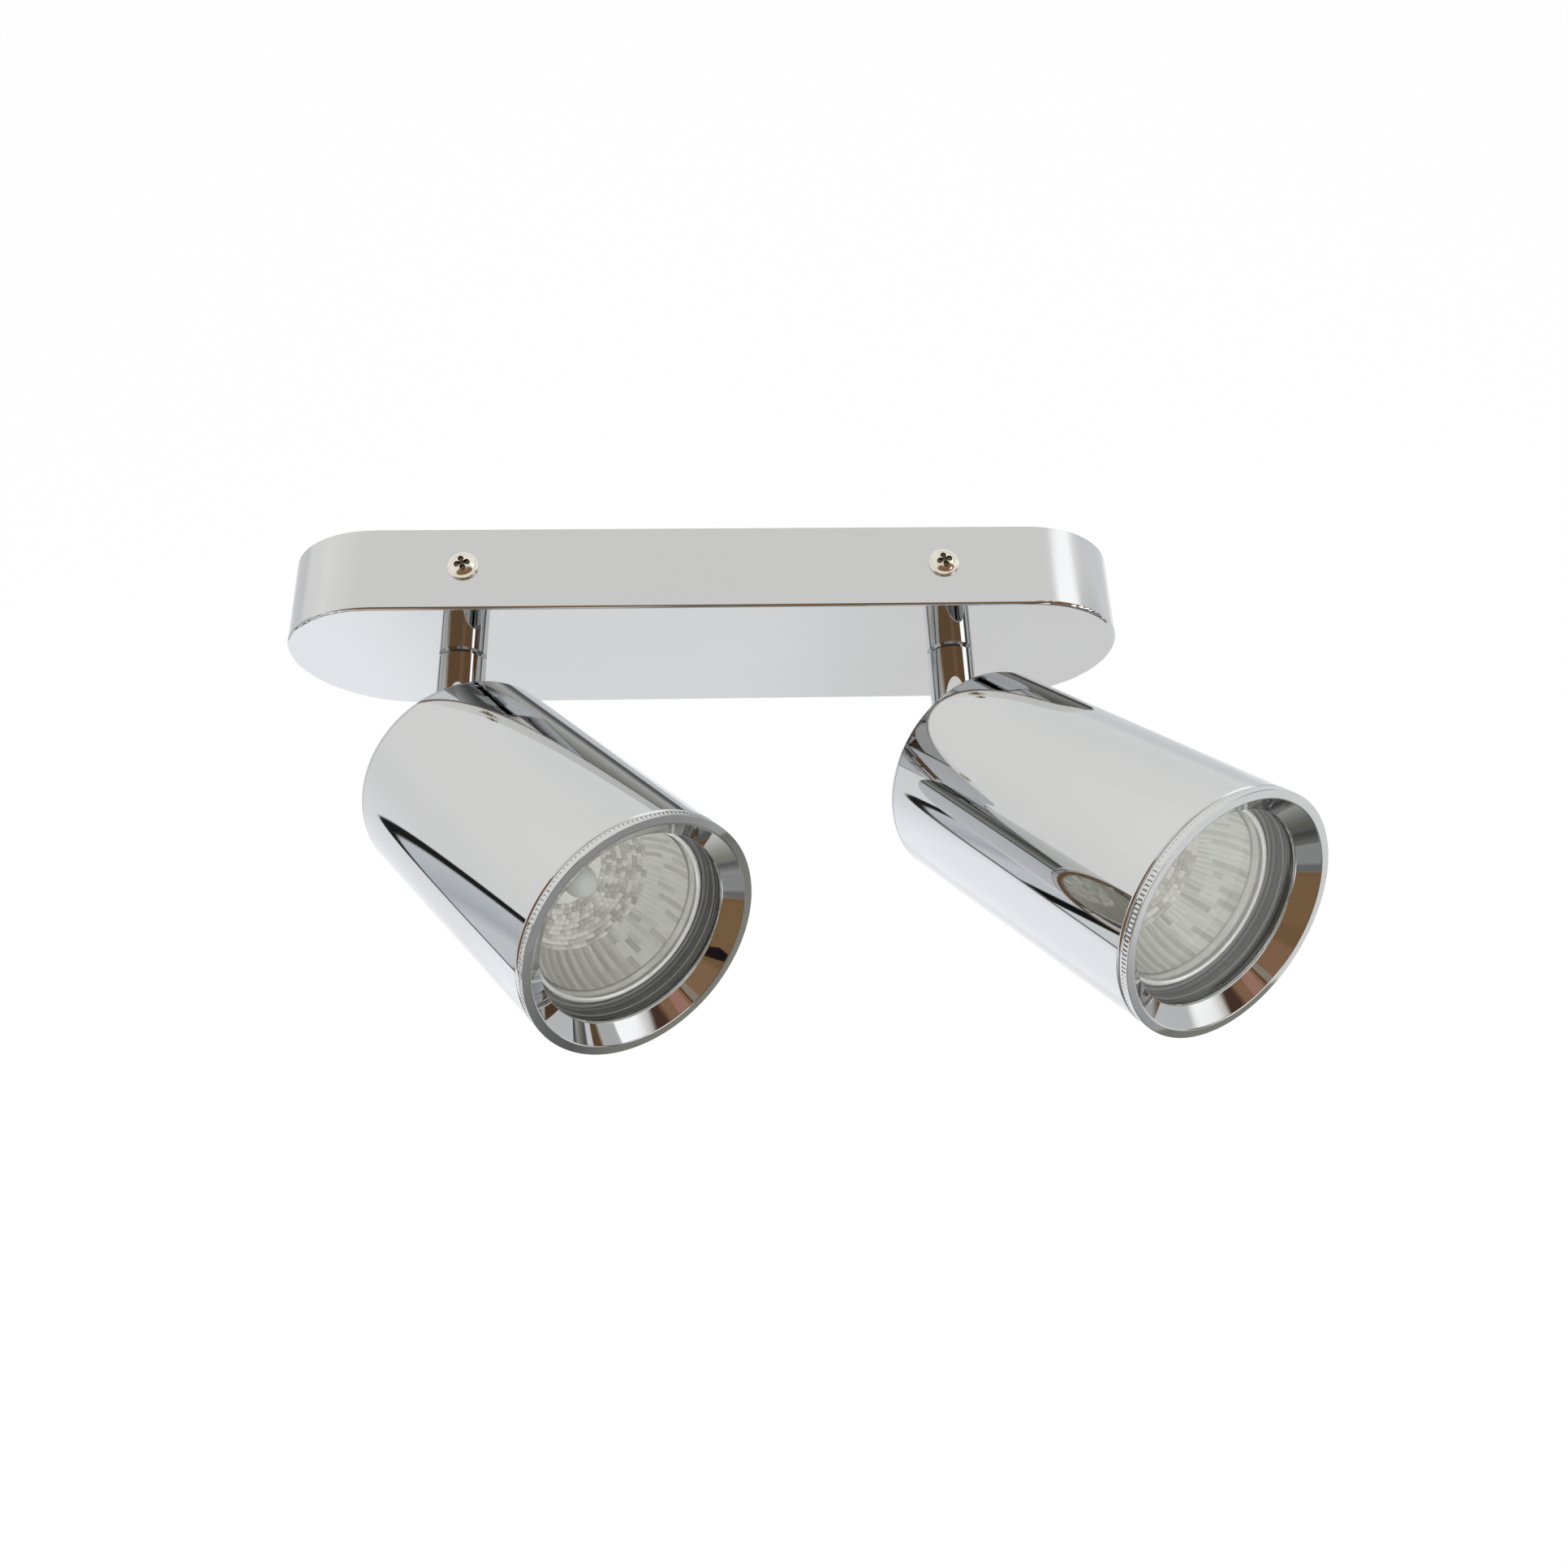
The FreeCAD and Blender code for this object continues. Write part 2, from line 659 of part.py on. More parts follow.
def make_neck(side, place):
    """Eye that turns in the fork, its square heel, the round boss and the stud."""
    body = new_body(side + "_neck")
    tongue = new_sketch(body, "YZ_Plane")
    draw_profile(tongue, [
        ("-eye_radius", "0"),
        ("0", "-eye_radius", "y"),
        ("eye_radius", "-eye_radius"),
        ("eye_radius", "head_gap"),
        ("-eye_radius", "head_gap"),
    ], {0: ("0", "0")})
    pad(body, tongue, "tongue_thick", both=True)
    boss = new_sketch(body, "XY_Plane", "head_gap - boss_thick")
    draw_circle(boss, "boss_width / 2")
    pad(body, boss, "boss_thick")
    stud = new_sketch(body, "XY_Plane", "head_gap")
    draw_circle(stud, "stud_width / 2")
    pad(body, stud, "stud_length")
    eye = new_sketch(body, "YZ_Plane")
    draw_circle(eye, "pin_width / 2 + fit_gap")
    pocket(body, eye, "2 * tongue_thick", both=True)
    bore = new_sketch(body, "XY_Plane", "head_gap + stud_length")
    draw_circle(bore, "lead_bore / 2")
    pocket(body, bore, "head_gap + stud_length - lead_exit_place")
    side_exit = new_sketch(body, "YZ_Plane")
    draw_circle(side_exit, "lead_exit / 2", "0", "lead_exit_place")
    pocket(body, side_exit, "tongue_thick", both=True)
    keep(body, side + "_neck", place)

    ring = Part.makeCylinder(value("friction_washer_width / 2"), value("friction_washer_thick"))
    ring = ring.cut(Part.makeCylinder(value("pin_width / 2 + fit_gap"), value("friction_washer_thick")))
    rings = []
    for way in (-1, 1):
        turn = FreeCAD.Rotation(Vector(0, 1, 0), 90 * way)
        cheek = Vector(way * value("tongue_thick / 2"), 0, 0)
        shape = ring.copy()
        shape.Placement = place.multiply(FreeCAD.Placement(cheek, turn))
        rings.append(shape)
    group(side + "_friction_washers", rings)
    hex_nut(side + "_neck_nut", "neck_nut_flats", "stud_width / 2 + fit_gap",
            "head_gap + tube_wall + strip_thick", "neck_nut_thick", place)


def make_shade(side, place):
    """Straight tube and the rounded cap that closes its rear end."""
    join = "(head_gap + tube_wall)"
    turned_part(side + "_tube", [
        (SHADE_RADIUS, join),
        (SHADE_RADIUS, FRONT + " - band_length - groove"),
        (SHADE_RADIUS + " - groove", FRONT + " - band_length"),
        (TUBE_BORE, FRONT + " - band_length"),
        (TUBE_BORE, join),
    ], None, place)
    cap = new_body(side + "_end_cap")
    plate = revolve(cap, [
        ("stud_width / 2 + fit_gap", "head_gap"),
        (SHADE_RADIUS, "head_gap"),
        (SHADE_RADIUS, join),
        ("stud_width / 2 + fit_gap", join),
    ])
    dress(cap, "Fillet", plate, "tube_edge", is_ring(value(SHADE_RADIUS), value("head_gap")))
    keep(cap, side + "_end_cap", place)


def make_bezel(side, place):
    """Screw-on front ring: knurled band, flat rim, polished bevel, lip and spigot."""
    body = new_body(side + "_bezel")
    spigot = "(head_width / 2 - tube_wall - spigot_gap)"
    revolve(body, [
        (spigot, FRONT + " - band_length - spigot_length"),
        (spigot, FRONT + " - band_length"),
        (SHADE_RADIUS + " - groove", FRONT + " - band_length"),
        (SHADE_RADIUS, FRONT + " - band_length + groove"),
        (SHADE_RADIUS, FRONT),
        (SHADE_RADIUS + " - rim_width", FRONT),
        (MOUTH_RADIUS, FRONT + " - bevel_depth"),
        (MOUTH_RADIUS, FRONT + " - bevel_depth - lip_thick"),
        (SPIGOT_BORE, FRONT + " - bevel_depth - lip_thick"),
        (SPIGOT_BORE, FRONT + " - band_length - spigot_length"),
    ])
    notch = new_sketch(body, "XY_Plane", FRONT)
    deep = SHADE_RADIUS + " - knurl_depth"
    clear = SHADE_RADIUS + " + knurl_depth"
    draw_profile(notch, [(deep, "0"), (clear, "knurl_width"), (clear, "-knurl_width")])
    cut = pocket(body, notch, "knurl_length")
    doc.recompute()
    polar(body, cut, "knurl_count")
    keep(body, side + "_bezel", place)


def make_glazing(side, place):
    glass_radius = SPIGOT_BORE + " - glass_gap"
    glass_front = GLASS_BACK + " + glass_thick"
    turned_part(side + "_cover_glass", [
        ("0", GLASS_BACK),
        (glass_radius, GLASS_BACK),
        (glass_radius, glass_front),
        ("0", glass_front),
    ], None, place)
    washer(side + "_gasket", MOUTH_RADIUS + " + gasket_setback", glass_radius,
           GLASS_BACK + " - gasket_thick", GLASS_BACK, place)


def make_lamp(side, place):
    """Reflector lamp with a bowl, front glass, capsule, ceramic base and two pins."""
    bowl = "lamp_width / 2"
    bowl_bore = "(lamp_width / 2 - lamp_wall)"
    neck_end = FRONT + " - lamp_neck_place"
    turned_part(side + "_lamp_reflector", [
        (bowl, LAMP_CENTRE),
        ("lamp_neck / 2", LAMP_CENTRE + " - lamp_bowl_depth", "y"),
        ("lamp_neck / 2", neck_end),
        ("lamp_neck / 2 - lamp_wall", neck_end),
        ("lamp_neck / 2 - lamp_wall", LAMP_CENTRE + " - lamp_bowl_depth + lamp_wall"),
        (bowl_bore, LAMP_CENTRE, "y"),
        (bowl_bore, LAMP_FACE),
        (bowl, LAMP_FACE),
    ], {0: ("0", LAMP_CENTRE)}, place)
    glass_top = LAMP_FACE + " - lamp_glass_sink"
    glass_radius = bowl_bore + " - fit_gap"
    turned_part(side + "_lamp_glass", [
        ("0", glass_top + " - lamp_glass_thick"),
        (glass_radius, glass_top + " - lamp_glass_thick"),
        (glass_radius, glass_top),
        ("0", glass_top),
    ], None, place)
    tip = neck_end + " + capsule_length"
    turned_part(side + "_lamp_capsule", [
        ("0", neck_end),
        ("capsule_width / 2", neck_end),
        ("capsule_width / 2", tip + " - capsule_width / 2"),
        ("0", tip, "y"),
    ], {2: ("0", tip + " - capsule_width / 2")}, place)
    turned_part(side + "_lamp_base", [
        ("0", LAMP_END),
        ("lamp_base_width / 2", LAMP_END),
        ("lamp_neck / 2", neck_end),
        ("0", neck_end),
    ], None, place)
    shaft = value("lamp_pin_neck")
    pins = []
    for way in (-1, 1):
        spot = Vector(0, way * value("pin_spacing / 2"), value(LAMP_END))
        down = Vector(0, 0, -1)
        pin = Part.makeCylinder(value("lamp_pin_width / 2"), shaft, spot, down)
        tip = spot + down * shaft
        head = Part.makeCylinder(value("lamp_pin_head / 2"), value("lamp_pin_head_length"), tip, down)
        shape = pin.fuse(head)
        shape.Placement = place.multiply(shape.Placement)
        pins.append(shape)
    group(side + "_lamp_pins", pins)


def make_lampholder(side, place):
    body = new_body(side + "_lampholder")
    top = HOLDER_END + " + holder_length"
    revolve(body, [
        ("0", HOLDER_END),
        ("holder_width / 2", HOLDER_END),
        ("holder_width / 2", top),
        ("0", top),
    ])
    sockets = new_sketch(body, "XY_Plane", top)
    for way in ("-", ""):
        draw_circle(sockets, "holder_hole / 2", "0", way + "pin_spacing / 2")
    pocket(body, sockets, "holder_hole_depth")
    threads = new_sketch(body, "XY_Plane", HOLDER_END)
    for way in ("-", ""):
        draw_circle(threads, "holder_screw_width / 2 + fit_gap", way + "holder_screw_spacing / 2")
    pocket(body, threads, "holder_screw_length", back=True)
    keep(body, side + "_lampholder", place)

    strip = new_body(side + "_holder_bracket")
    bend = new_sketch(strip, "XZ_Plane")
    floor = "(head_gap + tube_wall)"
    half = "(strip_span / 2)"
    draw_profile(bend, [
        ("-" + half, floor),
        (half, floor),
        (half, HOLDER_END),
        (half + " - strip_foot", HOLDER_END),
        (half + " - strip_foot", HOLDER_END + " - strip_thick"),
        (half + " - strip_thick", HOLDER_END + " - strip_thick"),
        (half + " - strip_thick", floor + " + strip_thick"),
        ("-" + half + " + strip_thick", floor + " + strip_thick"),
        ("-" + half + " + strip_thick", HOLDER_END + " - strip_thick"),
        ("-" + half + " + strip_foot", HOLDER_END + " - strip_thick"),
        ("-" + half + " + strip_foot", HOLDER_END),
        ("-" + half, HOLDER_END),
    ])
    pad(strip, bend, "strip_width", both=True)
    hole = new_sketch(strip, "XY_Plane", floor)
    draw_circle(hole, "stud_width / 2 + fit_gap")
    pocket(strip, hole, "strip_thick", back=True)
    feet = new_sketch(strip, "XY_Plane", HOLDER_END)
    for way in ("-", ""):
        draw_circle(feet, "holder_screw_width / 2 + fit_gap", way + "holder_screw_spacing / 2")
    pocket(strip, feet, "strip_thick")
    keep(strip, side + "_holder_bracket", place)

    screws = []
    under = value(HOLDER_END + " - strip_thick")
    for way in (-1, 1):
        spot = Vector(way * value("holder_screw_spacing / 2"), 0, under)
        up = Vector(0, 0, 1)
        shank = Part.makeCylinder(value("holder_screw_width / 2"), value("holder_screw_length"), spot, up)
        cap = Part.makeCylinder(value("holder_screw_head / 2"), value("holder_screw_rise"), spot, up * -1)
        shape = shank.fuse(cap)
        shape.Placement = place.multiply(shape.Placement)
        screws.append(shape)
    group(side + "_holder_screws", screws)


def make_side(side):
    """Build one stem and head, turned and tilted as the head is aimed at rest."""
    swivel = math.radians(value(side + "_swivel_angle"))
    tilt = math.radians(value(side + "_tilt_angle"))
    foot = Vector(value("stem_spacing / 2") * (-1 if side == "left" else 1), -value("bar_depth"), 0)
    outward = Vector(0, -1, 0)
    pin = Vector(-math.sin(swivel), 0, math.cos(swivel))
    stem_place = FreeCAD.Placement(foot, FreeCAD.Rotation(pin, outward.cross(pin), outward, "ZXY"))
    pivot = foot + outward * value("pivot_reach")
    tilted = FreeCAD.Rotation(pin, math.degrees(tilt)).multiply(stem_place.Rotation)
    head_place = FreeCAD.Placement(pivot, tilted)
    make_stem(side, stem_place)
    make_neck(side, head_place)
    make_shade(side, head_place)
    make_bezel(side, head_place)
    make_glazing(side, head_place)
    make_lamp(side, head_place)
    make_lampholder(side, head_place)


make_base_cover()
make_wall_bracket()
make_cover_screws()
make_wiring()
make_stop_studs()
for name in ("left", "right"):
    make_side(name)
doc.recompute()

for item in doc.Objects:
    if "Invalid" in item.State or "Error" in item.State:
        raise RuntimeError("%s (%s) failed: %s" % (item.Name, item.Label, item.State))
for item in parts:
    if item.Shape.isNull() or not item.Shape.isValid() or not item.Shape.Solids:
        raise RuntimeError("%s has no valid solid" % item.Label)

os.makedirs("parts", exist_ok=True)
for item in parts:
    item.Shape.exportStep(os.path.join("parts", item.Label + ".step"))
print("%d sub-parts written" % len(parts))
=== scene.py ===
"""Looks for the chrome wall bar with two pivoting reflector spots.

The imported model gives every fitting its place. This file adds the turned front
rings, the faceted lamps, the finishes and a plain pale studio.
"""
import json
import math
import random

import bmesh
import bpy
from mathutils import Matrix, Vector


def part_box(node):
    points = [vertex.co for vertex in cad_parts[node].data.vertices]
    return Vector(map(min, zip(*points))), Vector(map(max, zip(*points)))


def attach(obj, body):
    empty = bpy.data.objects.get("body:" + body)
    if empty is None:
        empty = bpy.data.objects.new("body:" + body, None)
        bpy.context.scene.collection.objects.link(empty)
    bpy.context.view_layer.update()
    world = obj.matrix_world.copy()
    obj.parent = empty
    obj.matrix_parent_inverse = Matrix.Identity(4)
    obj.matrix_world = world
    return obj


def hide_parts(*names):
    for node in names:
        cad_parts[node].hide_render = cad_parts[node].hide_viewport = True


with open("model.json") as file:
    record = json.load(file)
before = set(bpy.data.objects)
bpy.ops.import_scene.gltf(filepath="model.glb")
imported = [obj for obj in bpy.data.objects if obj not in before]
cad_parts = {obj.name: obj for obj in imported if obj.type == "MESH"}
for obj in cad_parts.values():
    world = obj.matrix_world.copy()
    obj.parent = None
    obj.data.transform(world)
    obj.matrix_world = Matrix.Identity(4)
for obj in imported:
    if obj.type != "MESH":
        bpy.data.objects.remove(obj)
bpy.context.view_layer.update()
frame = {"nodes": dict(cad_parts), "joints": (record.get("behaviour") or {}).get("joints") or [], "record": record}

bl_info = {
    "name": "Wall Bar Spotlight",
    "version": (1, 0, 0),
    "blender": (4, 5, 0),
    "location": "View3D > Sidebar > Wall Bar",
    "description": "Chrome, glass and faceted lamps for a twin spotlight bar",
    "category": "Object",
}

MM = 0.001
SIDES = ("left", "right")

# along the light from the hinge pin, mm
FRONT = 108.95
TUBE_REAR = 12.05
TUBE_END = 106.25
TUBE_WALL = 1.5

# front ring: inwards from the tube's outside or back from the ring's face, mm
GROOVE = 0.45
BAND = 2.7
BEAD = 0.4
RIM = 2.3
BEVEL_IN = 6.7
BEVEL_BACK = 4.1
LIP_BACK = 5.0
SKIRT_OUT = 1.6
SKIRT_IN = 3.6
SKIRT_END = 14.2

# outlines (radius, height from the ring's front) and how light each face is painted, from painted shade to painted
# highlight
SEAL = ((29.1, -9.5), (26.5, -9.5), (26.5, -8.3), (26.8, -8.02), (27.3, -8.02), (27.5, -8.35),
        (27.7, -8.02), (28.2, -8.02), (28.4, -8.35), (28.6, -8.02), (29.1, -8.02))
SEAL_PAINTED_LIGHT = (0.0, 0.1, 1.0, 0.3, 0.0, 0.9, 0.3, 0.0, 0.8, 0.1, 0.0)
STEPS = ((29.2, -9.6), (28.2, -9.8), (28.2, -10.4), (27.4, -10.6), (27.4, -11.2), (26.6, -11.4),
         (26.6, -12.0), (25.8, -12.2), (25.8, -12.8), (25.3, -13.0), (25.3, -13.9), (29.2, -13.9))
STEP_PAINTED_LIGHT = (0.2, 0.0, 0.8, 0.05, 0.9, 0.05, 1.0, 0.1, 1.0, 0.1, 0.0, 0.0)

# lamp: how far its parts lie behind the ring's face, and their sizes, mm
LAMP_FACE = 11.6
BOWL_CENTRE = 15.5
LAMP_BASE = 44.0
GLASS_WALL = 1.4
COAT_GAP = 0.25
NECK = 11.0
CAPSULE_RADIUS = 4.4
CAPSULE_LENGTH = 17.0
COIL_HALF = 2.6
COIL_RADIUS = 0.55
WIRE_RADIUS = 0.13

# faces along each side of one mirror cushion
CUSHION_CUTS = 4

# side screws, mm
CAD_FLANGE = 5.0
STEP = 0.8
DOME_RISE = 1.45

# share of plain white that the camera sees of the floor; the rest keeps the shadow
CAMERA_WHITE = 0.965

# view of the photograph: picture and focal length in pixels, sensor in mm, place in metres
PHOTO_PIXELS = 1932
FOCAL_PIXELS = 1403.8
SENSOR = 36.0
CAMERA_TURN = math.radians(-7.206)
CAMERA_LIFT = math.radians(69.268)
CAMERA_ROLL = math.radians(5.836)
CAMERA_AWAY = 0.37976
CAMERA_RIGHT = 0.02528
CAMERA_DOWN = 0.06664

# darkest painted shade of a lamp facet, as a share of the coating's red, green and blue
FACET_PAINTED_SHADE = (0.28, 0.265, 0.23)

# height of the fine grain under polish, moulding skin and lamp coating
POLISH_GRAIN = 0.02 * MM
SKIN_GRAIN = 0.04 * MM
COAT_GRAIN = 0.03 * MM


class WallBarFinishes(bpy.types.PropertyGroup):
    chrome_tint: bpy.props.FloatVectorProperty(
        name="Chrome Tint", description="Reflected colour of the plating",
        subtype="COLOR", size=3, min=0.0, max=1.0, default=(0.645, 0.65, 0.655))
    chrome_haze: bpy.props.FloatProperty(
        name="Chrome Haze", description="Roughness of the polished plating",
        subtype="FACTOR", min=0.0, max=0.4, default=0.03)
    screw_tint: bpy.props.FloatVectorProperty(
        name="Screw Tint", description="Warm nickel of the small screws",
        subtype="COLOR", size=3, min=0.0, max=1.0, default=(0.80, 0.76, 0.68))
    coating_tint: bpy.props.FloatVectorProperty(
        name="Lamp Coating", description="Cool mirror coating in the lamp bowls",
        subtype="COLOR", size=3, min=0.0, max=1.0, default=(0.97, 0.965, 0.94))
    coating_shine: bpy.props.FloatProperty(
        name="Coating Shine", description="How much of the lamp coating mirrors; the rest scatters",
        subtype="FACTOR", min=0.0, max=1.0, default=0.46)
    film: bpy.props.FloatProperty(
        name="Glass Film", description="Faint pale film on the glasses",
        subtype="FACTOR", min=0.0, max=0.5, default=0.018)


class WallBarRings(bpy.types.PropertyGroup):
    shade_radius: bpy.props.FloatProperty(
        name="Shade Radius", description="Outside of the tube and ring",
        unit="LENGTH", min=0.01, default=33.0 * MM)
    edge_round: bpy.props.FloatProperty(
        name="Edge Rounding", description="Radius worked on the turned edges",
        unit="LENGTH", min=0.0, default=0.22 * MM)
    knurl_count: bpy.props.IntProperty(
        name="Knurl Notches", description="Coin-edge notches round the front ring",
        min=12, default=168)
    knurl_depth: bpy.props.FloatProperty(
        name="Knurl Depth", description="Depth of one notch",
        unit="LENGTH", min=0.0, default=0.13 * MM)
    knurl_reach: bpy.props.FloatProperty(
        name="Knurl Reach", description="Width of the knurled part of the band",
        unit="LENGTH", min=0.0, default=1.3 * MM)


class WallBarLamps(bpy.types.PropertyGroup):
    bowl_radius: bpy.props.FloatProperty(
        name="Bowl Radius", description="Outside of the lamp's bowl",
        unit="LENGTH", min=0.01, default=25.0 * MM)
    flutes: bpy.props.IntProperty(
        name="Flutes", description="Radial ribs in the outer part of the bowl",
        min=12, default=90)
    cushion_rings: bpy.props.IntProperty(
        name="Cushion Rings", description="Rings of small mirror cushions further in",
        min=2, default=9)
    cushions: bpy.props.IntProperty(
        name="Cushions", description="Mirror cushions in one ring",
        min=12, default=56)
    cushion_rise: bpy.props.FloatProperty(
        name="Cushion Rise", description="How far a cushion or rib stands out of the bowl",
        unit="LENGTH", min=0.0, default=0.2 * MM)
    # the seed picks where ribs break and which cushions get a painted glint or a painted dull shade
    sparkle_seed: bpy.props.IntProperty(
        name="Sparkle Seed", description="Picks which cushions shine and which are dull",
        min=0, default=7)
    coil_turns: bpy.props.IntProperty(
        name="Coil Turns", description="Turns of the filament coil",
        min=4, default=11)


class WallBarScrews(bpy.types.PropertyGroup):
    flange_radius: bpy.props.FloatProperty(
        name="Flange Radius", description="Outside of the flat flange",
        unit="LENGTH", min=0.001, default=4.7 * MM)
    dome_radius: bpy.props.FloatProperty(
        name="Dome Radius", description="Outside of the domed head",
        unit="LENGTH", min=0.001, default=3.6 * MM)
    recess_reach: bpy.props.FloatProperty(
        name="Recess Reach", description="Reach of the cross recess from the middle",
        unit="LENGTH", min=0.0005, default=2.4 * MM)
    turn: bpy.props.FloatProperty(
        name="Turn", description="How far the recess is turned from square to the bar",
        subtype="ANGLE", default=math.radians(14.0))


class WallBarStudio(bpy.types.PropertyGroup):
    floor_drop: bpy.props.FloatProperty(
        name="Floor Drop", description="How far the floor lies below the bar",
        unit="LENGTH", min=0.1, default=0.42)
    soft_light: bpy.props.FloatProperty(
        name="Soft Light", description="Brightness of the plain room light",
        min=0.0, default=0.82)
    key_power: bpy.props.FloatProperty(
        name="Key Power", description="Watts of the large soft lamp overhead",
        unit="POWER", min=0.0, default=8.0)
    fill_power: bpy.props.FloatProperty(
        name="Fill Power", description="Watts of the soft lamp that lights the bowls from the front",
        unit="POWER", min=0.0, default=4.8)
    room_gain: bpy.props.FloatProperty(
        name="Room Gain", description="Brightness of the room that the plating mirrors",
        min=0.0, default=1.54)


# geometry


def axis_frame(side):
    """Matrix from a head's own frame (light along +Z, hinge pin along +X) to the bar."""
    hinges = [joint for joint in frame["joints"] if joint["name"] == side + "_tilt"]
    if not hinges:
        raise RuntimeError("The frame has no tilt joint on the " + side)
    hinge = hinges[0]
    pivot = Vector(hinge["pos_m"])
    low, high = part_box(side + "_cover_glass")
    aim = ((low + high) / 2 - pivot).normalized()
    pin = Vector(hinge["axis"]).normalized()
    across = aim.cross(pin)
    matrix = Matrix((pin, across, aim)).transposed().to_4x4()
    matrix.translation = pivot
    return matrix


def piece(name, verts, faces, matrix=None):
    mesh = bpy.data.meshes.new(name)
    mesh.from_pydata([tuple(v) for v in verts], [], faces)
    if matrix is not None:
        mesh.transform(matrix)
    mesh.update()
    made = bpy.data.objects.new(name, mesh)
    bpy.context.scene.collection.objects.link(made)
    return made


def smooth(made, angle):
    """Smooth shading that keeps edges sharper than the angle crisp."""
    mesh = made.data
    mesh.polygons.foreach_set("use_smooth", [True] * len(mesh.polygons))
    work = bmesh.new()
    work.from_mesh(mesh)
    bmesh.ops.recalc_face_normals(work, faces=work.faces)
    limit = math.radians(angle)
    for edge in work.edges:
        edge.smooth = len(edge.link_faces) == 2 and edge.calc_face_angle(0.0) < limit
    work.to_mesh(mesh)
    work.free()
    return made


def eased(profile, radius, steps=4):
    """Round each corner of a closed (radius, height) outline.

    A spare point on either side of a corner keeps the flats flat.
    """
    path = []
    count = len(profile)
    for i, corner in enumerate(profile):
        here = Vector(corner)
        back = Vector(profile[i - 1]) - here
        ahead = Vector(profile[(i + 1) % count]) - here
        cut = min(radius, back.length * 0.4, ahead.length * 0.4)
        first = here + back.normalized() * cut
        last = here + ahead.normalized() * cut
        path.append(here + back.normalized() * cut * 1.2)
        for k in range(steps + 1):
            t = k / steps
            path.append((1 - t) ** 2 * first + 2 * t * (1 - t) * here + t * t * last)
        path.append(here + ahead.normalized() * cut * 1.2)
    return path


def ring_mesh(path, turns, wobble=None):
    """Verts and quads of a closed outline turned about Z; wobble(angle, r, z) gives the radius."""
    verts = []
    faces = []
    rows = len(path)
    for j in range(turns):
        angle = 2 * math.pi * j / turns
        for r, z in path:
            radius = wobble(angle, r, z) if wobble else r
            verts.append((radius * math.cos(angle), radius * math.sin(angle), z))
    for j in range(turns):
        after = (j + 1) % turns
        for i in range(rows):
            up = (i + 1) % rows
            faces.append((j * rows + i, after * rows + i, after * rows + up, j * rows + up))
    return verts, faces


def disc_mesh(outline, turns):
    """Solid of revolution from (radius, height) points that start and end on the axis."""
    verts = [(0, 0, outline[0][1])]
    for j in range(turns):
        angle = 2 * math.pi * j / turns
        verts += [(r * math.cos(angle), r * math.sin(angle), z) for r, z in outline[1:-1]]
    verts.append((0, 0, outline[-1][1]))
    rows = len(outline) - 2
    faces = []
    for j in range(turns):
        a = 1 + j * rows
        b = 1 + ((j + 1) % turns) * rows
        faces.append((0, b, a))
        for i in range(rows - 1):
            faces.append((a + i, b + i, b + i + 1, a + i + 1))
        faces.append((a + rows - 1, b + rows - 1, len(verts) - 1))
    return verts, faces


# finishes


def new_finish(name):
    material = bpy.data.materials.new(name)
    material.use_nodes = True
    tree = material.node_tree
    shader = [node for node in tree.nodes if node.type == "BSDF_PRINCIPLED"][0]
    return material, tree, shader


def link(tree, source, target):
    tree.links.new(source, target)


def noise(tree, scale):
    place = tree.nodes.new("ShaderNodeTexCoord")
    grain = tree.nodes.new("ShaderNodeTexNoise")
    grain.inputs["Scale"].default_value = scale
    grain.inputs["Detail"].default_value = 3.0
    link(tree, place.outputs["Object"], grain.inputs["Vector"])
    return grain.outputs["Fac"]


def spread(tree, source, low, high):
    remap = tree.nodes.new("ShaderNodeMapRange")
    remap.inputs["To Min"].default_value = low
    remap.inputs["To Max"].default_value = high
    link(tree, source, remap.inputs["Value"])
    return remap.outputs["Result"]


def shade_between(tree, source, dark, light):
    ramp = tree.nodes.new("ShaderNodeValToRGB")
    ramp.color_ramp.elements[0].position = 0.35
    ramp.color_ramp.elements[1].position = 0.65
    ramp.color_ramp.elements[0].color = (*dark, 1)
    ramp.color_ramp.elements[1].color = (*light, 1)
    link(tree, source, ramp.inputs["Fac"])
    return ramp.outputs["Color"]


def relief(tree, source, shader, strength, distance):
    bump = tree.nodes.new("ShaderNodeBump")
    bump.inputs["Strength"].default_value = strength
    bump.inputs["Distance"].default_value = distance
    link(tree, source, bump.inputs["Height"])
    link(tree, bump.outputs["Normal"], shader.inputs["Normal"])


def metal(name, tint, haze, mottle, grain, bumpy=0.0):
    """Metal whose tint and haze drift a little over the surface."""
    material, tree, shader = new_finish(name)
    shader.inputs["Metallic"].default_value = 1.0
    drift = noise(tree, grain)
    tint = tuple(tint)
    dark = tuple(c * (1 - mottle) for c in tint)
    link(tree, shade_between(tree, drift, dark, tint), shader.inputs["Base Color"])
    fine = noise(tree, grain * 9)
    link(tree, spread(tree, fine, haze * 0.7, haze * 1.3), shader.inputs["Roughness"])
    if bumpy:
        relief(tree, fine, shader, bumpy, POLISH_GRAIN)
    return material


def dull(name, tint, rough, mottle=0.06, grain=300.0, bumpy=0.15):
    """Moulded or fired surface with a fine skin."""
    material, tree, shader = new_finish(name)
    drift = noise(tree, grain)
    dark = tuple(c * (1 - mottle) for c in tint)
    link(tree, shade_between(tree, drift, dark, tint), shader.inputs["Base Color"])
    link(tree, spread(tree, drift, rough * 0.85, min(1.0, rough * 1.15)), shader.inputs["Roughness"])
    relief(tree, noise(tree, grain * 4), shader, bumpy, SKIN_GRAIN)
    return material


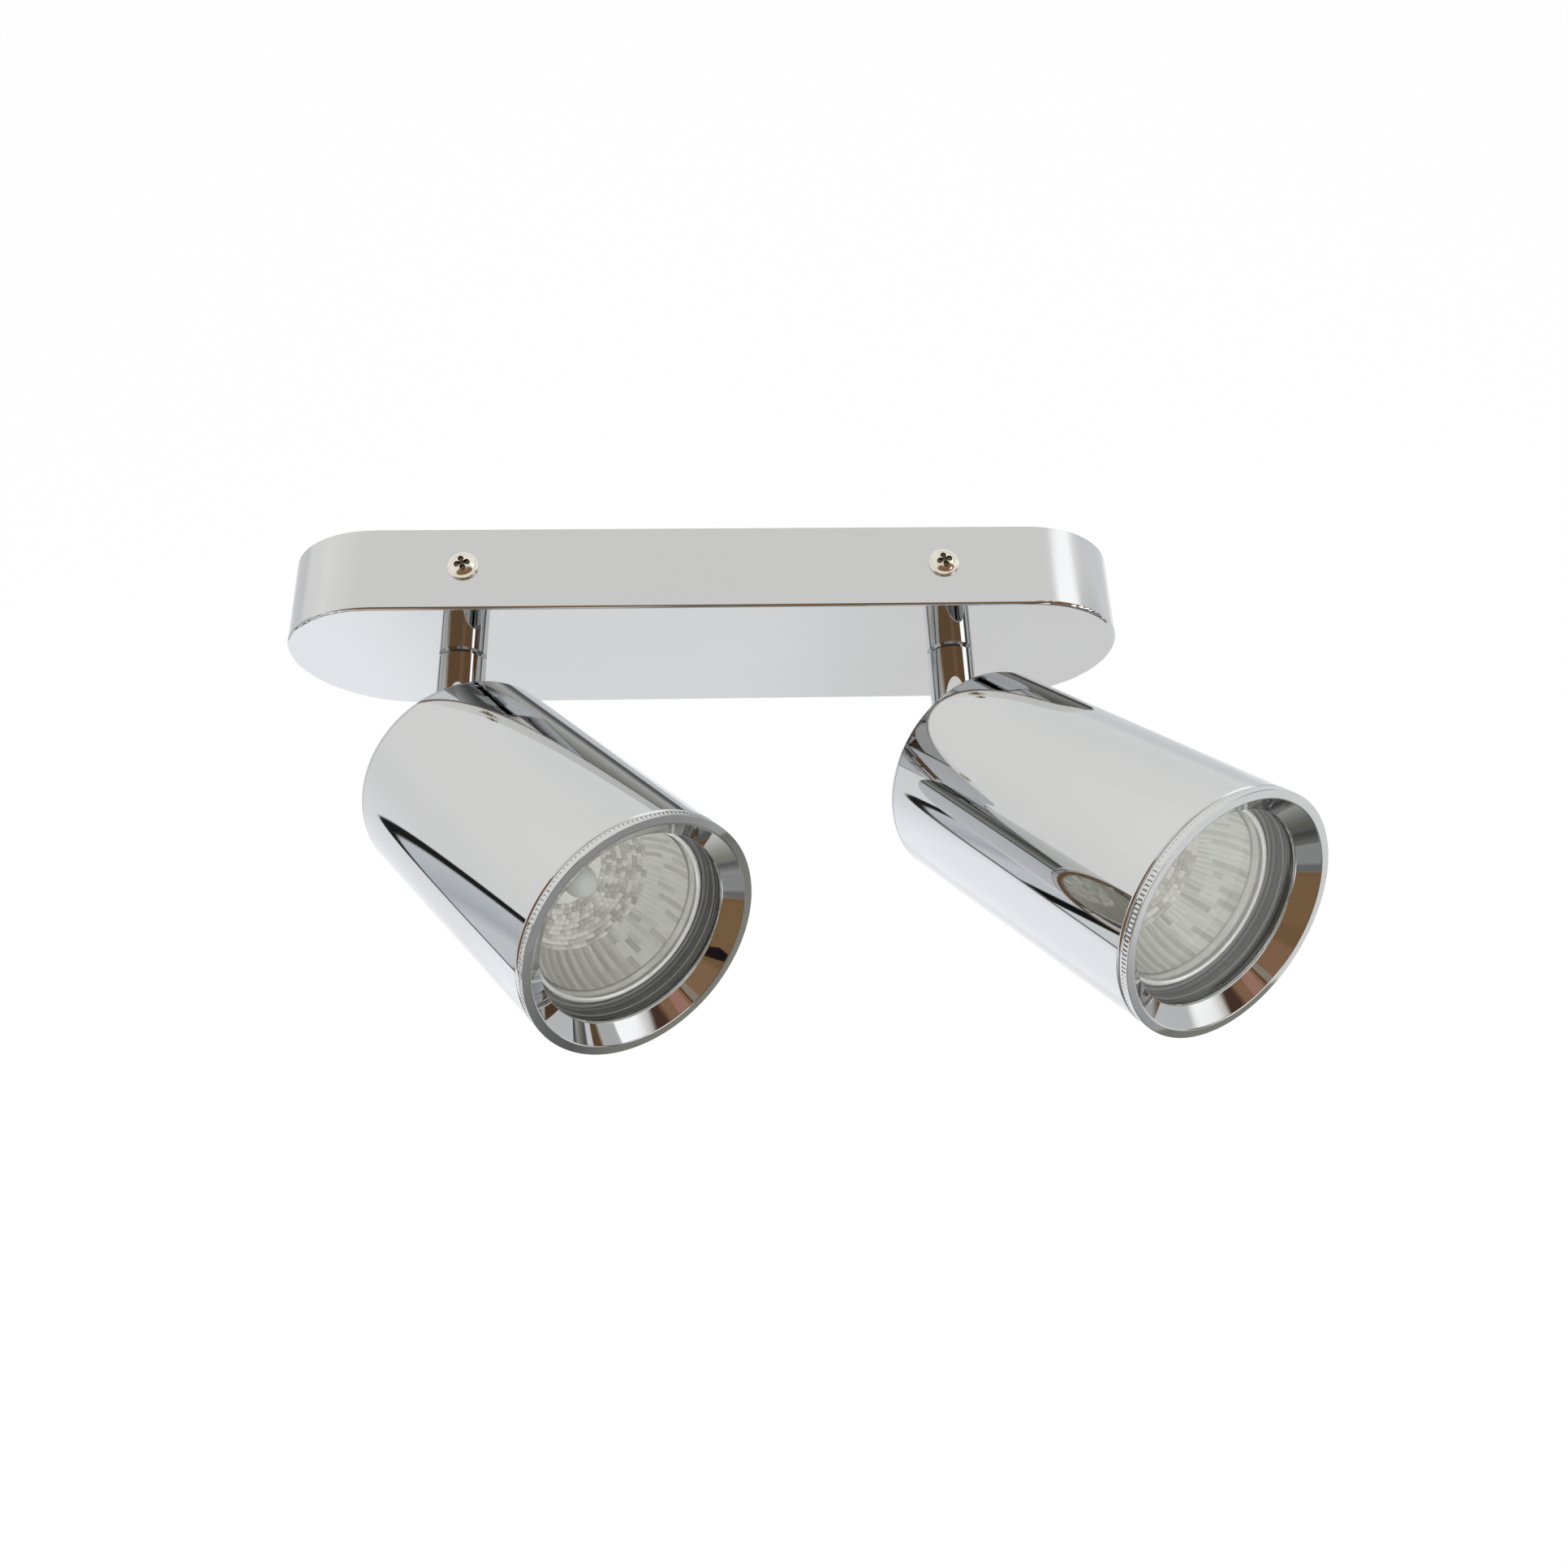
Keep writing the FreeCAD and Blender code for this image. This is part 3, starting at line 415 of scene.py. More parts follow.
def pane(name, tint, dust, mirror):
    """Thin glass: light goes straight through, and more is mirrored at a low angle.

    dust is the share of a pale film on it, mirror the index behind its gloss.
    """
    material, tree, shader = new_finish(name)
    shader.inputs["Base Color"].default_value = (*tint, 1.0)
    shader.inputs["Metallic"].default_value = 1.0
    shader.inputs["Roughness"].default_value = 0.01
    facing = tree.nodes.new("ShaderNodeFresnel")
    facing.inputs["IOR"].default_value = mirror
    side = tree.nodes.new("ShaderNodeNewGeometry")
    front = tree.nodes.new("ShaderNodeMapRange")
    front.inputs["To Min"].default_value = 1.0
    front.inputs["To Max"].default_value = 0.0
    link(tree, side.outputs["Backfacing"], front.inputs["Value"])
    share = tree.nodes.new("ShaderNodeMath")
    share.operation = "MULTIPLY"
    link(tree, facing.outputs["Fac"], share.inputs[0])
    link(tree, front.outputs["Result"], share.inputs[1])
    through = tree.nodes.new("ShaderNodeBsdfTransparent")
    through.inputs["Color"].default_value = (0.985, 0.99, 0.985, 1.0)
    gloss = tree.nodes.new("ShaderNodeMixShader")
    link(tree, share.outputs["Value"], gloss.inputs["Fac"])
    link(tree, through.outputs["BSDF"], gloss.inputs[1])
    link(tree, shader.outputs["BSDF"], gloss.inputs[2])
    film = tree.nodes.new("ShaderNodeBsdfDiffuse")
    film.inputs["Color"].default_value = (0.85, 0.86, 0.84, 1.0)
    veil = tree.nodes.new("ShaderNodeMixShader")
    link(tree, spread(tree, noise(tree, 60.0), dust * 0.6, dust * 1.4), veil.inputs["Fac"])
    link(tree, gloss.outputs["Shader"], veil.inputs[1])
    link(tree, film.outputs["BSDF"], veil.inputs[2])
    output = [node for node in tree.nodes if node.type == "OUTPUT_MATERIAL"][0]
    link(tree, veil.outputs["Shader"], output.inputs["Surface"])
    return material


def coating(name, tint, shine):
    """Reflector coat: part mirror, part pale scatter, with fine mottling."""
    material, tree, shader = new_finish(name)
    shader.inputs["Metallic"].default_value = shine
    grain = noise(tree, 900.0)
    dark = tuple(c * 0.9 for c in tint)
    link(tree, shade_between(tree, grain, dark, tuple(tint)), shader.inputs["Base Color"])
    link(tree, spread(tree, grain, 0.1, 0.22), shader.inputs["Roughness"])
    relief(tree, noise(tree, 700.0), shader, 0.35, COAT_GRAIN)
    return material


def painted_light_finish(name, dark, light, shine, rough):
    """Faces that carry painted light and shade, from dark to light, as an attribute of the mesh."""
    material, tree, shader = new_finish(name)
    own = tree.nodes.new("ShaderNodeAttribute")
    own.attribute_name = "painted_shade"
    ramp = tree.nodes.new("ShaderNodeValToRGB")
    ramp.color_ramp.elements[0].color = (*dark, 1)
    ramp.color_ramp.elements[1].color = (*light, 1)
    link(tree, own.outputs["Fac"], ramp.inputs["Fac"])
    link(tree, ramp.outputs["Color"], shader.inputs["Base Color"])
    shader.inputs["Metallic"].default_value = shine
    link(tree, spread(tree, noise(tree, 500.0), rough * 0.6, rough * 1.4), shader.inputs["Roughness"])
    return material


def paint_face_light(made, painted_levels):
    # painted light and shade for each face, from 0 dark to 1 light
    layer = made.data.attributes.new("painted_shade", "FLOAT", "FACE")
    layer.data.foreach_set("value", painted_levels)


def put_finish(made, material):
    made.data.materials.clear()
    made.data.materials.append(material)


def finish_for(slot):
    return bpy.data.materials["finish_" + slot]


class WALLBAR_OT_finishes(bpy.types.Operator):
    """Make every finish and give it to the fittings that come from the frame"""
    bl_idname = "wallbar.finishes"
    bl_label = "Finishes"

    def execute(self, context):
        look = context.scene.wall_bar_finishes
        metal("finish_chrome_plate", look.chrome_tint, look.chrome_haze, mottle=0.012, grain=25.0)
        metal("finish_nickel_steel", look.screw_tint, 0.16, mottle=0.06, grain=400.0, bumpy=0.2)
        metal("finish_zinc_steel", (0.60, 0.61, 0.62), 0.34, mottle=0.14, grain=180.0, bumpy=0.3)
        metal("finish_brass", (0.80, 0.60, 0.30), 0.24, mottle=0.10, grain=260.0, bumpy=0.2)
        coating("finish_mirror_coating", look.coating_tint, look.coating_shine)
        pane("finish_clear_glass", (0.97, 0.985, 0.98), dust=look.film, mirror=1.5)
        dull("finish_frosted_glass", (0.86, 0.86, 0.84), 0.2, mottle=0.03, grain=400.0, bumpy=0.05)
        dull("finish_white_ceramic", (0.80, 0.79, 0.75), 0.55)
        dull("finish_white_plastic", (0.82, 0.82, 0.80), 0.38, mottle=0.03, grain=500.0, bumpy=0.1)
        dull("finish_black_rubber", (0.018, 0.018, 0.019), 0.5, mottle=0.3)
        dull("finish_dark_fibre", (0.05, 0.042, 0.035), 0.8, mottle=0.3)
        # seal and baffle: per-face painted highlights and painted shade, from black to mid grey
        painted_light_finish("finish_ribbed_rubber", (0.01, 0.01, 0.009), (0.15, 0.152, 0.143), shine=0.0, rough=0.4)
        # dark brown metal inside the cross recesses: painted shade
        metal("finish_recess_painted_shade", (0.13, 0.10, 0.055), 0.3, mottle=0.3, grain=500.0)
        tint = tuple(look.coating_tint)
        # lamp facets: each facet's painted glint or painted shade, from the coating colour down to its darkest
        # share
        dark = tuple(c * share for c, share in zip(tint, FACET_PAINTED_SHADE))
        painted_light_finish("finish_lamp_facets", dark, tint, look.coating_shine, rough=0.09)
        pane("finish_capsule_glass", (0.97, 0.98, 0.97), dust=0.7, mirror=1.5)
        for part in frame["record"]["subparts"]:
            put_finish(frame["nodes"][part["node"]], finish_for(part["material_slot"]))
        return {"FINISHED"}


class WALLBAR_OT_rings(bpy.types.Operator):
    """Turn the tubes and the knurled front rings of both heads"""
    bl_idname = "wallbar.rings"
    bl_label = "Tubes and Rings"

    def execute(self, context):
        size = context.scene.wall_bar_rings
        outer = size.shade_radius
        ease = size.edge_round
        knurl_end = BEAD + size.knurl_reach / MM
        crisp = 0.01  # half the gap, in mm, between the two points where notches begin or end
        notch_share = 0.6
        tube = ((0.0, TUBE_REAR), (0.0, TUBE_END - GROOVE), (GROOVE, TUBE_END),
                (TUBE_WALL, TUBE_END), (TUBE_WALL, TUBE_REAR))
        tube = [(outer - inward * MM, height * MM) for inward, height in tube]
        ring = ((SKIRT_OUT, SKIRT_END), (SKIRT_OUT, BAND), (GROOVE, BAND), (0.0, BAND - GROOVE),
                (0.0, knurl_end + crisp), (0.0, knurl_end - crisp), (0.0, BEAD + crisp),
                (0.0, BEAD - crisp), (0.0, 0.0), (RIM, 0.0), (BEVEL_IN, BEVEL_BACK),
                (BEVEL_IN, LIP_BACK), (SKIRT_IN, LIP_BACK), (SKIRT_IN, SKIRT_END))
        ring = [(outer - inward * MM, (FRONT - back) * MM) for inward, back in ring]

        def notched(angle, r, z):
            if r < outer - 0.1 * MM or not BEAD < FRONT - z / MM < knurl_end:
                return r
            tooth = abs((angle * size.knurl_count / (2 * math.pi)) % 1.0 - 0.5) * 2
            dip = max(0.0, 1 - tooth / notch_share)
            return r - size.knurl_depth * dip

        for side in SIDES:
            matrix = axis_frame(side)
            verts, faces = ring_mesh(eased(tube, ease), turns=192)
            shade = smooth(piece(side + "_shade", verts, faces, matrix), angle=32.0)
            verts, faces = ring_mesh(eased(ring, ease), size.knurl_count * 6, notched)
            bezel = smooth(piece(side + "_front_ring", verts, faces, matrix), angle=25.0)
            for made, node in ((shade, "_tube"), (bezel, "_bezel")):
                put_finish(made, finish_for("chrome_plate"))
                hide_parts(side + node)
                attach(made, side + "_head")
            for name, outline, painted_stripes in (("_ribbed_seal", SEAL, SEAL_PAINTED_LIGHT),
                                           ("_stepped_baffle", STEPS, STEP_PAINTED_LIGHT)):
                verts, faces = ring_mesh([(r * MM, (FRONT + z) * MM) for r, z in outline], turns=160)
                made = smooth(piece(side + name, verts, faces, matrix), angle=20.0)
                # each face of the seal and baffle gets its painted highlight or painted shade
                paint_face_light(made, [painted_stripes[i % len(outline)] for i in range(len(faces))])
                put_finish(made, finish_for("ribbed_rubber"))
                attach(made, side + "_head")
                if outline is SEAL:
                    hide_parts(side + "_gasket")
        return {"FINISHED"}


def bowl_depth(r, outer):
    """Depth behind the rim plane of a round bowl at a given radius."""
    return math.sqrt(max(0.0, outer * outer - r * r))


def cushion(verts, faces, band, turn, radius, rise):
    """One pillow on the bowl between two polar angles and two turns, with corners of its own."""
    cut = CUSHION_CUTS
    base = len(verts)
    for a in range(cut + 1):
        for b in range(cut + 1):
            u = a / cut
            v = b / cut
            polar = band[0] + (band[1] - band[0]) * u
            angle = turn[0] + (turn[1] - turn[0]) * v
            reach = radius - 4 * (rise[0] * u * (1 - u) + rise[1] * v * (1 - v))
            verts.append((reach * math.sin(polar) * math.cos(angle),
                          reach * math.sin(polar) * math.sin(angle), -reach * math.cos(polar)))
    for a in range(cut):
        for b in range(cut):
            i = base + a * (cut + 1) + b
            faces.append((i, i + cut + 1, i + cut + 2, i + 1))


def faceted_bowl(name, size, inner, neck, matrix, dice):
    """Square cushions low in the bowl and long ribs above them, each with its own painted glint or painted shade.
    """
    verts = []
    faces = []
    painted_levels = []
    low = math.asin(neck / inner)
    middle = math.radians(55.0)
    # turn of the bowl that is painted lightest, as a painted reflection of the bright room
    brightest_painted_turn = math.radians(215.0)
    quads = CUSHION_CUTS ** 2
    step = (middle - low) / size.cushion_rings
    for row in range(size.cushion_rings):
        for j in range(size.cushions):
            shift = 0.5 * (row % 2)
            turn = [2 * math.pi * (j + shift + k) / size.cushions for k in (0, 1)]
            band = (low + step * row, low + step * (row + 1))
            cushion(verts, faces, band, turn, inner, (size.cushion_rise, size.cushion_rise))
            # four cushions in ten get a painted glint, the rest a duller painted shade
            throw = dice.random()
            light = 1.0 if throw > 0.6 else 0.4 + 0.4 * dice.random()
            painted_levels += [light] * quads
    for j in range(size.flutes):
        turn = [2 * math.pi * (j + k) / size.flutes for k in (0, 1)]
        side = math.cos(turn[0] - brightest_painted_turn)
        edges = [middle, math.radians(dice.uniform(62, 68))]
        edges += [math.radians(dice.uniform(74, 80)), math.pi / 2]
        if side < -0.1:
            edges = [middle, math.pi / 2]  # on the side painted dark a rib runs through unbroken
        for band in zip(edges, edges[1:]):
            cushion(verts, faces, band, turn, inner, (0.02 * MM, size.cushion_rise))
            # painted light: lighter towards the brightest painted turn, every other rib painted darker, some ribs
            # on the light side a painted glint
            light = 0.62 + 0.24 * side + 0.16 * dice.random() - 0.26 * (j % 2)
            if side > 0.2 and dice.random() > 0.5:
                light = 1.0
            painted_levels += [light] * quads
    made = piece(name, verts, faces, matrix)
    made.data.polygons.foreach_set("use_smooth", [True] * len(faces))
    paint_face_light(made, painted_levels)
    return made


def rod(points, radius, sides=6):
    """Verts and quads of a thin rod along a line of points."""
    verts = []
    faces = []
    for i, point in enumerate(points):
        ahead = (points[min(i + 1, len(points) - 1)] - points[max(i - 1, 0)]).normalized()
        across = ahead.cross(Vector((0.3, 0.2, 1.0))).normalized()
        over = ahead.cross(across)
        for k in range(sides):
            a = 2 * math.pi * k / sides
            verts.append(point + radius * (math.cos(a) * across + math.sin(a) * over))
    for i in range(len(points) - 1):
        for k in range(sides):
            here = i * sides + k
            after = i * sides + (k + 1) % sides
            faces.append((here, after, after + sides, here + sides))
    return verts, faces


def down_the_bowl(radius, centre, least):
    """Points from a round bowl's rim down to where it is only as wide as its neck."""
    turns = [math.pi / 2 * (1 - k / 15) for k in range(1, 15)]
    points = [(radius * math.sin(a), centre - radius * math.cos(a)) for a in turns]
    return [point for point in points if point[0] > least]


def bowl_outline(outer, centre):
    """Closed outline of the lamp's glass, open at the front and at the base."""
    face = (FRONT - LAMP_FACE) * MM
    base = (FRONT - LAMP_BASE) * MM
    coat = outer - (GLASS_WALL - COAT_GAP) * MM
    neck = NECK * MM
    bore = neck - GLASS_WALL * MM
    ease = 0.3 * MM
    coat_ease = 0.2 * MM
    shell = [(outer, centre)]
    shell += down_the_bowl(outer, centre, neck)
    shell += [(neck, centre - bowl_depth(neck, outer)), (neck, base)]
    shell += [(bore, base), (bore, centre - bowl_depth(bore, coat))]
    shell += reversed(down_the_bowl(coat, centre, bore))
    shell += [(coat, centre), (coat, face - coat_ease), (coat + coat_ease, face)]
    shell += [(outer - ease, face), (outer, face - ease)]
    return shell


def capsule_outline(base, tip):
    """Round-ended capsule from its base to its tip, on the axis."""
    radius = CAPSULE_RADIUS * MM
    shoulder = tip - radius
    turns = [a * math.pi / 12 for a in range(1, 6)]
    outline = [(0, base), (radius, base), (radius, shoulder)]
    outline += [(radius * math.cos(a), shoulder + radius * math.sin(a)) for a in turns]
    return outline + [(0, tip)]


def coil_points(turns, height):
    """Points along a small coil that lies across the lamp, ten to a turn."""
    points = []
    radius = COIL_RADIUS * MM
    count = turns * 10
    for i in range(count + 1):
        a = 2 * math.pi * i / 10
        along = COIL_HALF * MM * (2 * i / count - 1)
        points.append(Vector((along, radius * math.cos(a), height + radius * math.sin(a))))
    return points


class WALLBAR_OT_lamps(bpy.types.Operator):
    """Build the faceted bowls, capsules and filament coils of the lamps"""
    bl_idname = "wallbar.lamps"
    bl_label = "Lamps"

    def execute(self, context):
        size = context.scene.wall_bar_lamps
        outer = size.bowl_radius
        centre = (FRONT - BOWL_CENTRE) * MM
        base = (FRONT - LAMP_BASE) * MM
        tip = base + CAPSULE_LENGTH * MM
        bore = (NECK - GLASS_WALL) * MM
        bed = centre - bowl_depth(NECK * MM, outer)
        cement = [(4.5 * MM, bed + 0.6 * MM), (9.4 * MM, bed + 1.5 * MM),
                  (9.4 * MM, bed - 3.0 * MM), (4.5 * MM, bed - 3.0 * MM)]
        pinch = [(0, base + 0.2 * MM), (3.6 * MM, base + 0.2 * MM), (3.6 * MM, tip - 11.0 * MM),
                 (2.4 * MM, tip - 9.0 * MM), (0, tip - 8.6 * MM)]
        bowl = ring_mesh(bowl_outline(outer, centre), turns=120)
        collar = ring_mesh(eased(cement, 0.3 * MM), turns=48)
        capsule = disc_mesh(capsule_outline(base, tip), turns=40)
        coil = rod(coil_points(size.coil_turns, tip - 6.5 * MM), WIRE_RADIUS * MM)
        stalk = disc_mesh(pinch, turns=32)
        for side in SIDES:
            matrix = axis_frame(side)
            place = matrix @ Matrix.Translation((0, 0, centre))
            dice = random.Random(size.sparkle_seed + SIDES.index(side))
            for name, shape, crease, slot, finish in (
                    ("_lamp_bowl", bowl, 40.0, "mirror_coating", "mirror_coating"),
                    ("_lamp_facets", None, None, "mirror_coating", "lamp_facets"),
                    ("_lamp_collar", collar, 32.0, "white_ceramic", "white_ceramic"),
                    ("_bulb", capsule, 40.0, "frosted_glass", "capsule_glass"),
                    ("_filament", coil, 32.0, "nickel_steel", "nickel_steel"),
                    ("_capsule_stalk", stalk, 32.0, "white_ceramic", "white_ceramic")):
                if shape is None:
                    made = faceted_bowl(side + name, size, outer - GLASS_WALL * MM, bore, place, dice)
                else:
                    made = smooth(piece(side + name, *shape, matrix), crease)
                put_finish(made, finish_for(finish))
                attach(made, side + "_head")
                if name == "_lamp_bowl":
                    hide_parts(side + "_lamp_reflector")
                if name == "_bulb":
                    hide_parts(side + "_lamp_capsule")
        return {"FINISHED"}


def crossed(angle, core, centre, lobe):
    """Radius of a four-lobed recess at an angle."""
    best = core
    for k in range(4):
        off = angle - math.pi * k / 2
        across = centre * math.sin(off)
        if abs(across) < lobe and math.cos(off) > 0:
            best = max(best, centre * math.cos(off) + math.sqrt(lobe * lobe - across * across))
    return best


def grid_of_rings(rings, cap=None):
    """Join rings of equal count one after another; cap closes the last one on a point."""
    verts = [point for ring in rings for point in ring]
    turns = len(rings[0])
    faces = []
    for i in range(len(rings) - 1):
        for j in range(turns):
            k = (j + 1) % turns
            faces.append((i * turns + j, i * turns + k, (i + 1) * turns + k, (i + 1) * turns + j))
    if cap is not None:
        last = (len(rings) - 1) * turns
        faces += [(last + j, last + (j + 1) % turns, len(verts)) for j in range(turns)]
        verts.append(cap)
    return verts, faces


def screw_meshes(size):
    """Flanged dome with a cross recess, head up along Z; returns head and recess."""
    flange = size.flange_radius
    dome = size.dome_radius
    cap = DOME_RISE * MM
    step = STEP * MM
    bend = (dome * dome + cap * cap) / (2 * cap)
    turns = 96
    angles = [2 * math.pi * j / turns for j in range(turns)]

    def height(r):
        return step + math.sqrt(bend * bend - r * r) - (bend - cap)

    def circle(reach, z):
        return [(reach * math.cos(a), reach * math.sin(a), z) for a in angles]

    lobe = size.recess_reach * 0.38
    outline = [crossed(a, 0.75 * MM, size.recess_reach - lobe, lobe) for a in angles]
    rings = [circle(flange - inward * MM, z * MM)
             for inward, z in ((0.1, 0.0), (0.0, 0.15), (0.0, 0.4), (0.1, 0.6), (0.35, 0.74))]
    rings += [circle(dome + 0.25 * MM, step), circle(dome, step + 0.06 * MM)]
    for k in range(1, 9):
        ring = []
        for a, edge in zip(angles, outline):
            r = dome + (edge - dome) * k / 8
            ring.append((r * math.cos(a), r * math.sin(a), height(r)))
        rings.append(ring)
    sunk = [rings[-1]]
    for share, drop in ((0.96, 0.12), (0.9, 0.75), (0.8, 0.85), (0.45, 0.8), (0.3, 0.45)):
        sunk.append([(edge * share * math.cos(a), edge * share * math.sin(a), step + cap - drop * MM)
                     for a, edge in zip(angles, outline)])
    return grid_of_rings(rings), grid_of_rings(sunk, (0.0, 0.0, step + cap - 0.4 * MM))


class WALLBAR_OT_screws(bpy.types.Operator):
    """Set the four domed screws with cross recesses into the bar's long sides"""
    bl_idname = "wallbar.screws"
    bl_label = "Side Screws"

    def execute(self, context):
        size = context.scene.wall_bar_screws
        low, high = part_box("cover_screws")
        cover_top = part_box("base_cover")[1][2]
        reach = (high[0] - low[0]) / 2 - CAD_FLANGE * MM
        depth = (low[1] + high[1]) / 2
        head, recess = screw_meshes(size)
        # the recesses get the dark brown finish: painted shade inside the cross
        for name, (verts, faces), finish in (("screw_heads", head, "nickel_steel"),
                                             ("screw_recesses", recess, "recess_painted_shade")):
            every = []
            joined = []
            for side in (-1, 1):
                for face in (-1, 1):
                    place = Matrix.Translation((side * reach, depth, face * cover_top))
                    place = place @ Matrix.Rotation(0.0 if face > 0 else math.pi, 4, "X")
                    place = place @ Matrix.Rotation(size.turn, 4, "Z")
                    joined += [tuple(i + len(every) for i in corners) for corners in faces]
                    every += [place @ Vector(v) for v in verts]
            made = smooth(piece(name, every, joined), angle=35.0)
            put_finish(made, finish_for(finish))
            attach(made, "base")
            if name == "screw_heads":
                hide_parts("cover_screws")
        return {"FINISHED"}


# studio


def tone(red, green, blue):
    """Linear colour of an 8-bit display colour."""
    share = [c / 255 for c in (red, green, blue)]
    linear = [((c + 0.055) / 1.055) ** 2.4 if c > 0.04 else c / 12.92 for c in share]
    return (*linear, 1.0)


def grey(level):
    return tone(level, level, level)


class Maths:
    """Short names for the sums that paint the room and the cards."""

    def __init__(self, tree):
        self.tree = tree

    def feed(self, socket, given):
        if isinstance(given, bpy.types.NodeSocket):
            link(self.tree, given, socket)
        else:
            socket.default_value = given

    def calc(self, kind, first, second=0.0):
        node = self.tree.nodes.new("ShaderNodeMath")
        node.operation = kind
        self.feed(node.inputs[0], first)
        self.feed(node.inputs[1], second)
        return node.outputs[0]

    def rise(self, source, edge, soft):
        """0 below the edge, 1 above it."""
        node = self.tree.nodes.new("ShaderNodeMapRange")
        node.interpolation_type = "SMOOTHSTEP"
        node.inputs["From Min"].default_value = edge - soft
        node.inputs["From Max"].default_value = edge + soft
        link(self.tree, source, node.inputs["Value"])
        return node.outputs["Result"]

    def within(self, source, low, high, soft):
        """1 between low and high, 0 outside them."""
        above = self.rise(source, low, soft)
        past = self.rise(source, high, soft)
        return self.calc("SUBTRACT", above, past)

    def mix(self, cover, under, over):
        """What lies under where the cover is 0, what lies over it where it is 1."""
        node = self.tree.nodes.new("ShaderNodeMix")
        node.data_type = "RGBA"
        sockets = [socket for socket in node.inputs if socket.enabled]
        for socket, given in zip(sockets, (cover, under, over)):
            self.feed(socket, given)
        return [socket for socket in node.outputs if socket.enabled][0]

    def bands(self, source, low, high, stops):
        """Colours that follow one another along a value."""
        node = self.tree.nodes.new("ShaderNodeMapRange")
        node.inputs["From Min"].default_value = low
        node.inputs["From Max"].default_value = high
        link(self.tree, source, node.inputs["Value"])
        ramp = self.tree.nodes.new("ShaderNodeValToRGB")
        parts = ramp.color_ramp.elements
        while len(parts) < len(stops):
            parts.new(0.5)
        for part, (at, colour) in zip(parts, stops):
            part.position = (at - low) / (high - low)
            part.color = colour
        link(self.tree, node.outputs["Result"], ramp.inputs["Fac"])
        return ramp.outputs["Color"]

    def brighten(self, colour, gain):
        node = self.tree.nodes.new("ShaderNodeVectorMath")
        node.operation = "SCALE"
        link(self.tree, colour, node.inputs["Vector"])
        node.inputs["Scale"].default_value = gain
        return node.outputs["Vector"]


class Sky(Maths):
    """Room seen by direction: turn from straight out towards +X, and height, in degrees."""

    def __init__(self, tree):
        super().__init__(tree)
        place = tree.nodes.new("ShaderNodeTexCoord")
        split = tree.nodes.new("ShaderNodeSeparateXYZ")
        link(tree, place.outputs["Generated"], split.inputs["Vector"])
        out = self.calc("MULTIPLY", split.outputs["Y"], -1.0)
        self.turn = self.calc("DEGREES", self.calc("ARCTAN2", split.outputs["X"], out))
        self.height = self.calc("DEGREES", self.calc("ARCSINE", split.outputs["Z"]))

    def patch(self, under, colour, turn, height, soft):
        """Lay a colour over what is under it, between two turns and two heights."""
        across = self.within(self.turn, turn[0], turn[1], soft[0])
        upright = self.within(self.height, height[0], height[1], soft[1])
        return self.mix(self.calc("MULTIPLY", across, upright), under, colour)


# patches of the mirrored room, each over the ones before: colour, turns, heights, softness of both
ROOM = (
    # brighter low on the left, shade of the bar behind it
    (tone(223, 225, 228), (-88, -30), (-80, -36), (6, 4)),
    (tone(198, 198, 197), (10, 70), (-80, -40), (10, 5)),
    (tone(182, 184, 186), (-136, -116), (-42, -14), (5, 6)),
    (tone(186, 187, 190), (138, 172), (-58, -24), (8, 6)),
    # front of the room: a dark floor end, panelled wood above it
    (tone(228, 229, 231), (-52, -16), (-16, 9), (4, 3)),
    (grey(128), (-14, 62), (-16, 9), (3, 2)),
    (grey(98), (-14, 62), (3, 9), (3, 1.5)),
    (tone(108, 83, 59), (-62, 97), (8.5, 72), (5, 1)),
    (tone(114, 89, 63), (-14, 0), (11, 47), (1, 3)),
    (tone(122, 94, 72), (4, 92), (57, 72), (3, 2)),
    (tone(146, 108, 96), (64, 80), (60, 70), (1, 1)),
    (tone(74, 40, 34), (57, 59), (56, 72), (0.5, 1)),
    (tone(128, 120, 110), (44, 55), (58, 72), (1, 1)),
    (tone(66, 48, 40), (88, 98), (45, 56), (1.5, 2)),
    # window to the right with a darker wall round it
    (tone(176, 177, 178), (94, 119), (-46, 16), (2, 4)),
    (tone(188, 190, 193), (119, 137), (-40, 10), (4, 8)),
    (tone(120, 120, 124), (99, 108), (-58, -44), (3, 3)),
    (tone(246, 246, 246), (100, 131), (18, 41), (5, 5)),
    # far window, and the shaded wall under it
    (grey(70), (44, 76), (-5, 9), (3, 2)),
    (grey(134), (36, 57), (-27, -6), (2.5, 3)),
    (grey(200), (57, 74), (-24, -4), (2.5, 3)),
    ((1.5, 1.5, 1.48, 1.0), (50, 76), (12, 32), (2, 2)),
)


def paint_world(studio):
    """Room for the polished metal to mirror; camera, glass and soft light see it plain."""
    world = bpy.data.worlds.new("studio_world")
    bpy.context.scene.world = world
    world.use_nodes = True
    tree = world.node_tree
    backdrop = [node for node in tree.nodes if node.type == "BACKGROUND"][0]
    sky = Sky(tree)
    view = sky.bands(sky.height, -90, 90, (
        (-90, tone(212, 213, 215)),
        (-60, tone(208, 209, 211)),
        (-42, tone(206, 208, 211)),
        (-15, tone(201, 202, 201)),
        (2, tone(206, 206, 204)),
        (14, tone(212, 212, 209)),
        (32, tone(206, 206, 204)),
        (50, tone(200, 200, 198)),
        (90, tone(198, 198, 196)),
    ))
    for colour, turn, height, soft in ROOM:
        view = sky.patch(view, colour, turn, height, soft)
    light = tree.nodes.new("ShaderNodeLightPath")
    view = sky.brighten(view, studio.room_gain)
    white = (1.0, 1.0, 1.0, 1.0)
    soft = studio.soft_light
    view = sky.mix(light.outputs["Is Diffuse Ray"], view, (soft, soft, soft, 1.0))
    view = sky.mix(light.outputs["Is Transmission Ray"], view, white)
    view = sky.mix(light.outputs["Is Camera Ray"], view, white)
    link(tree, view, backdrop.inputs["Color"])


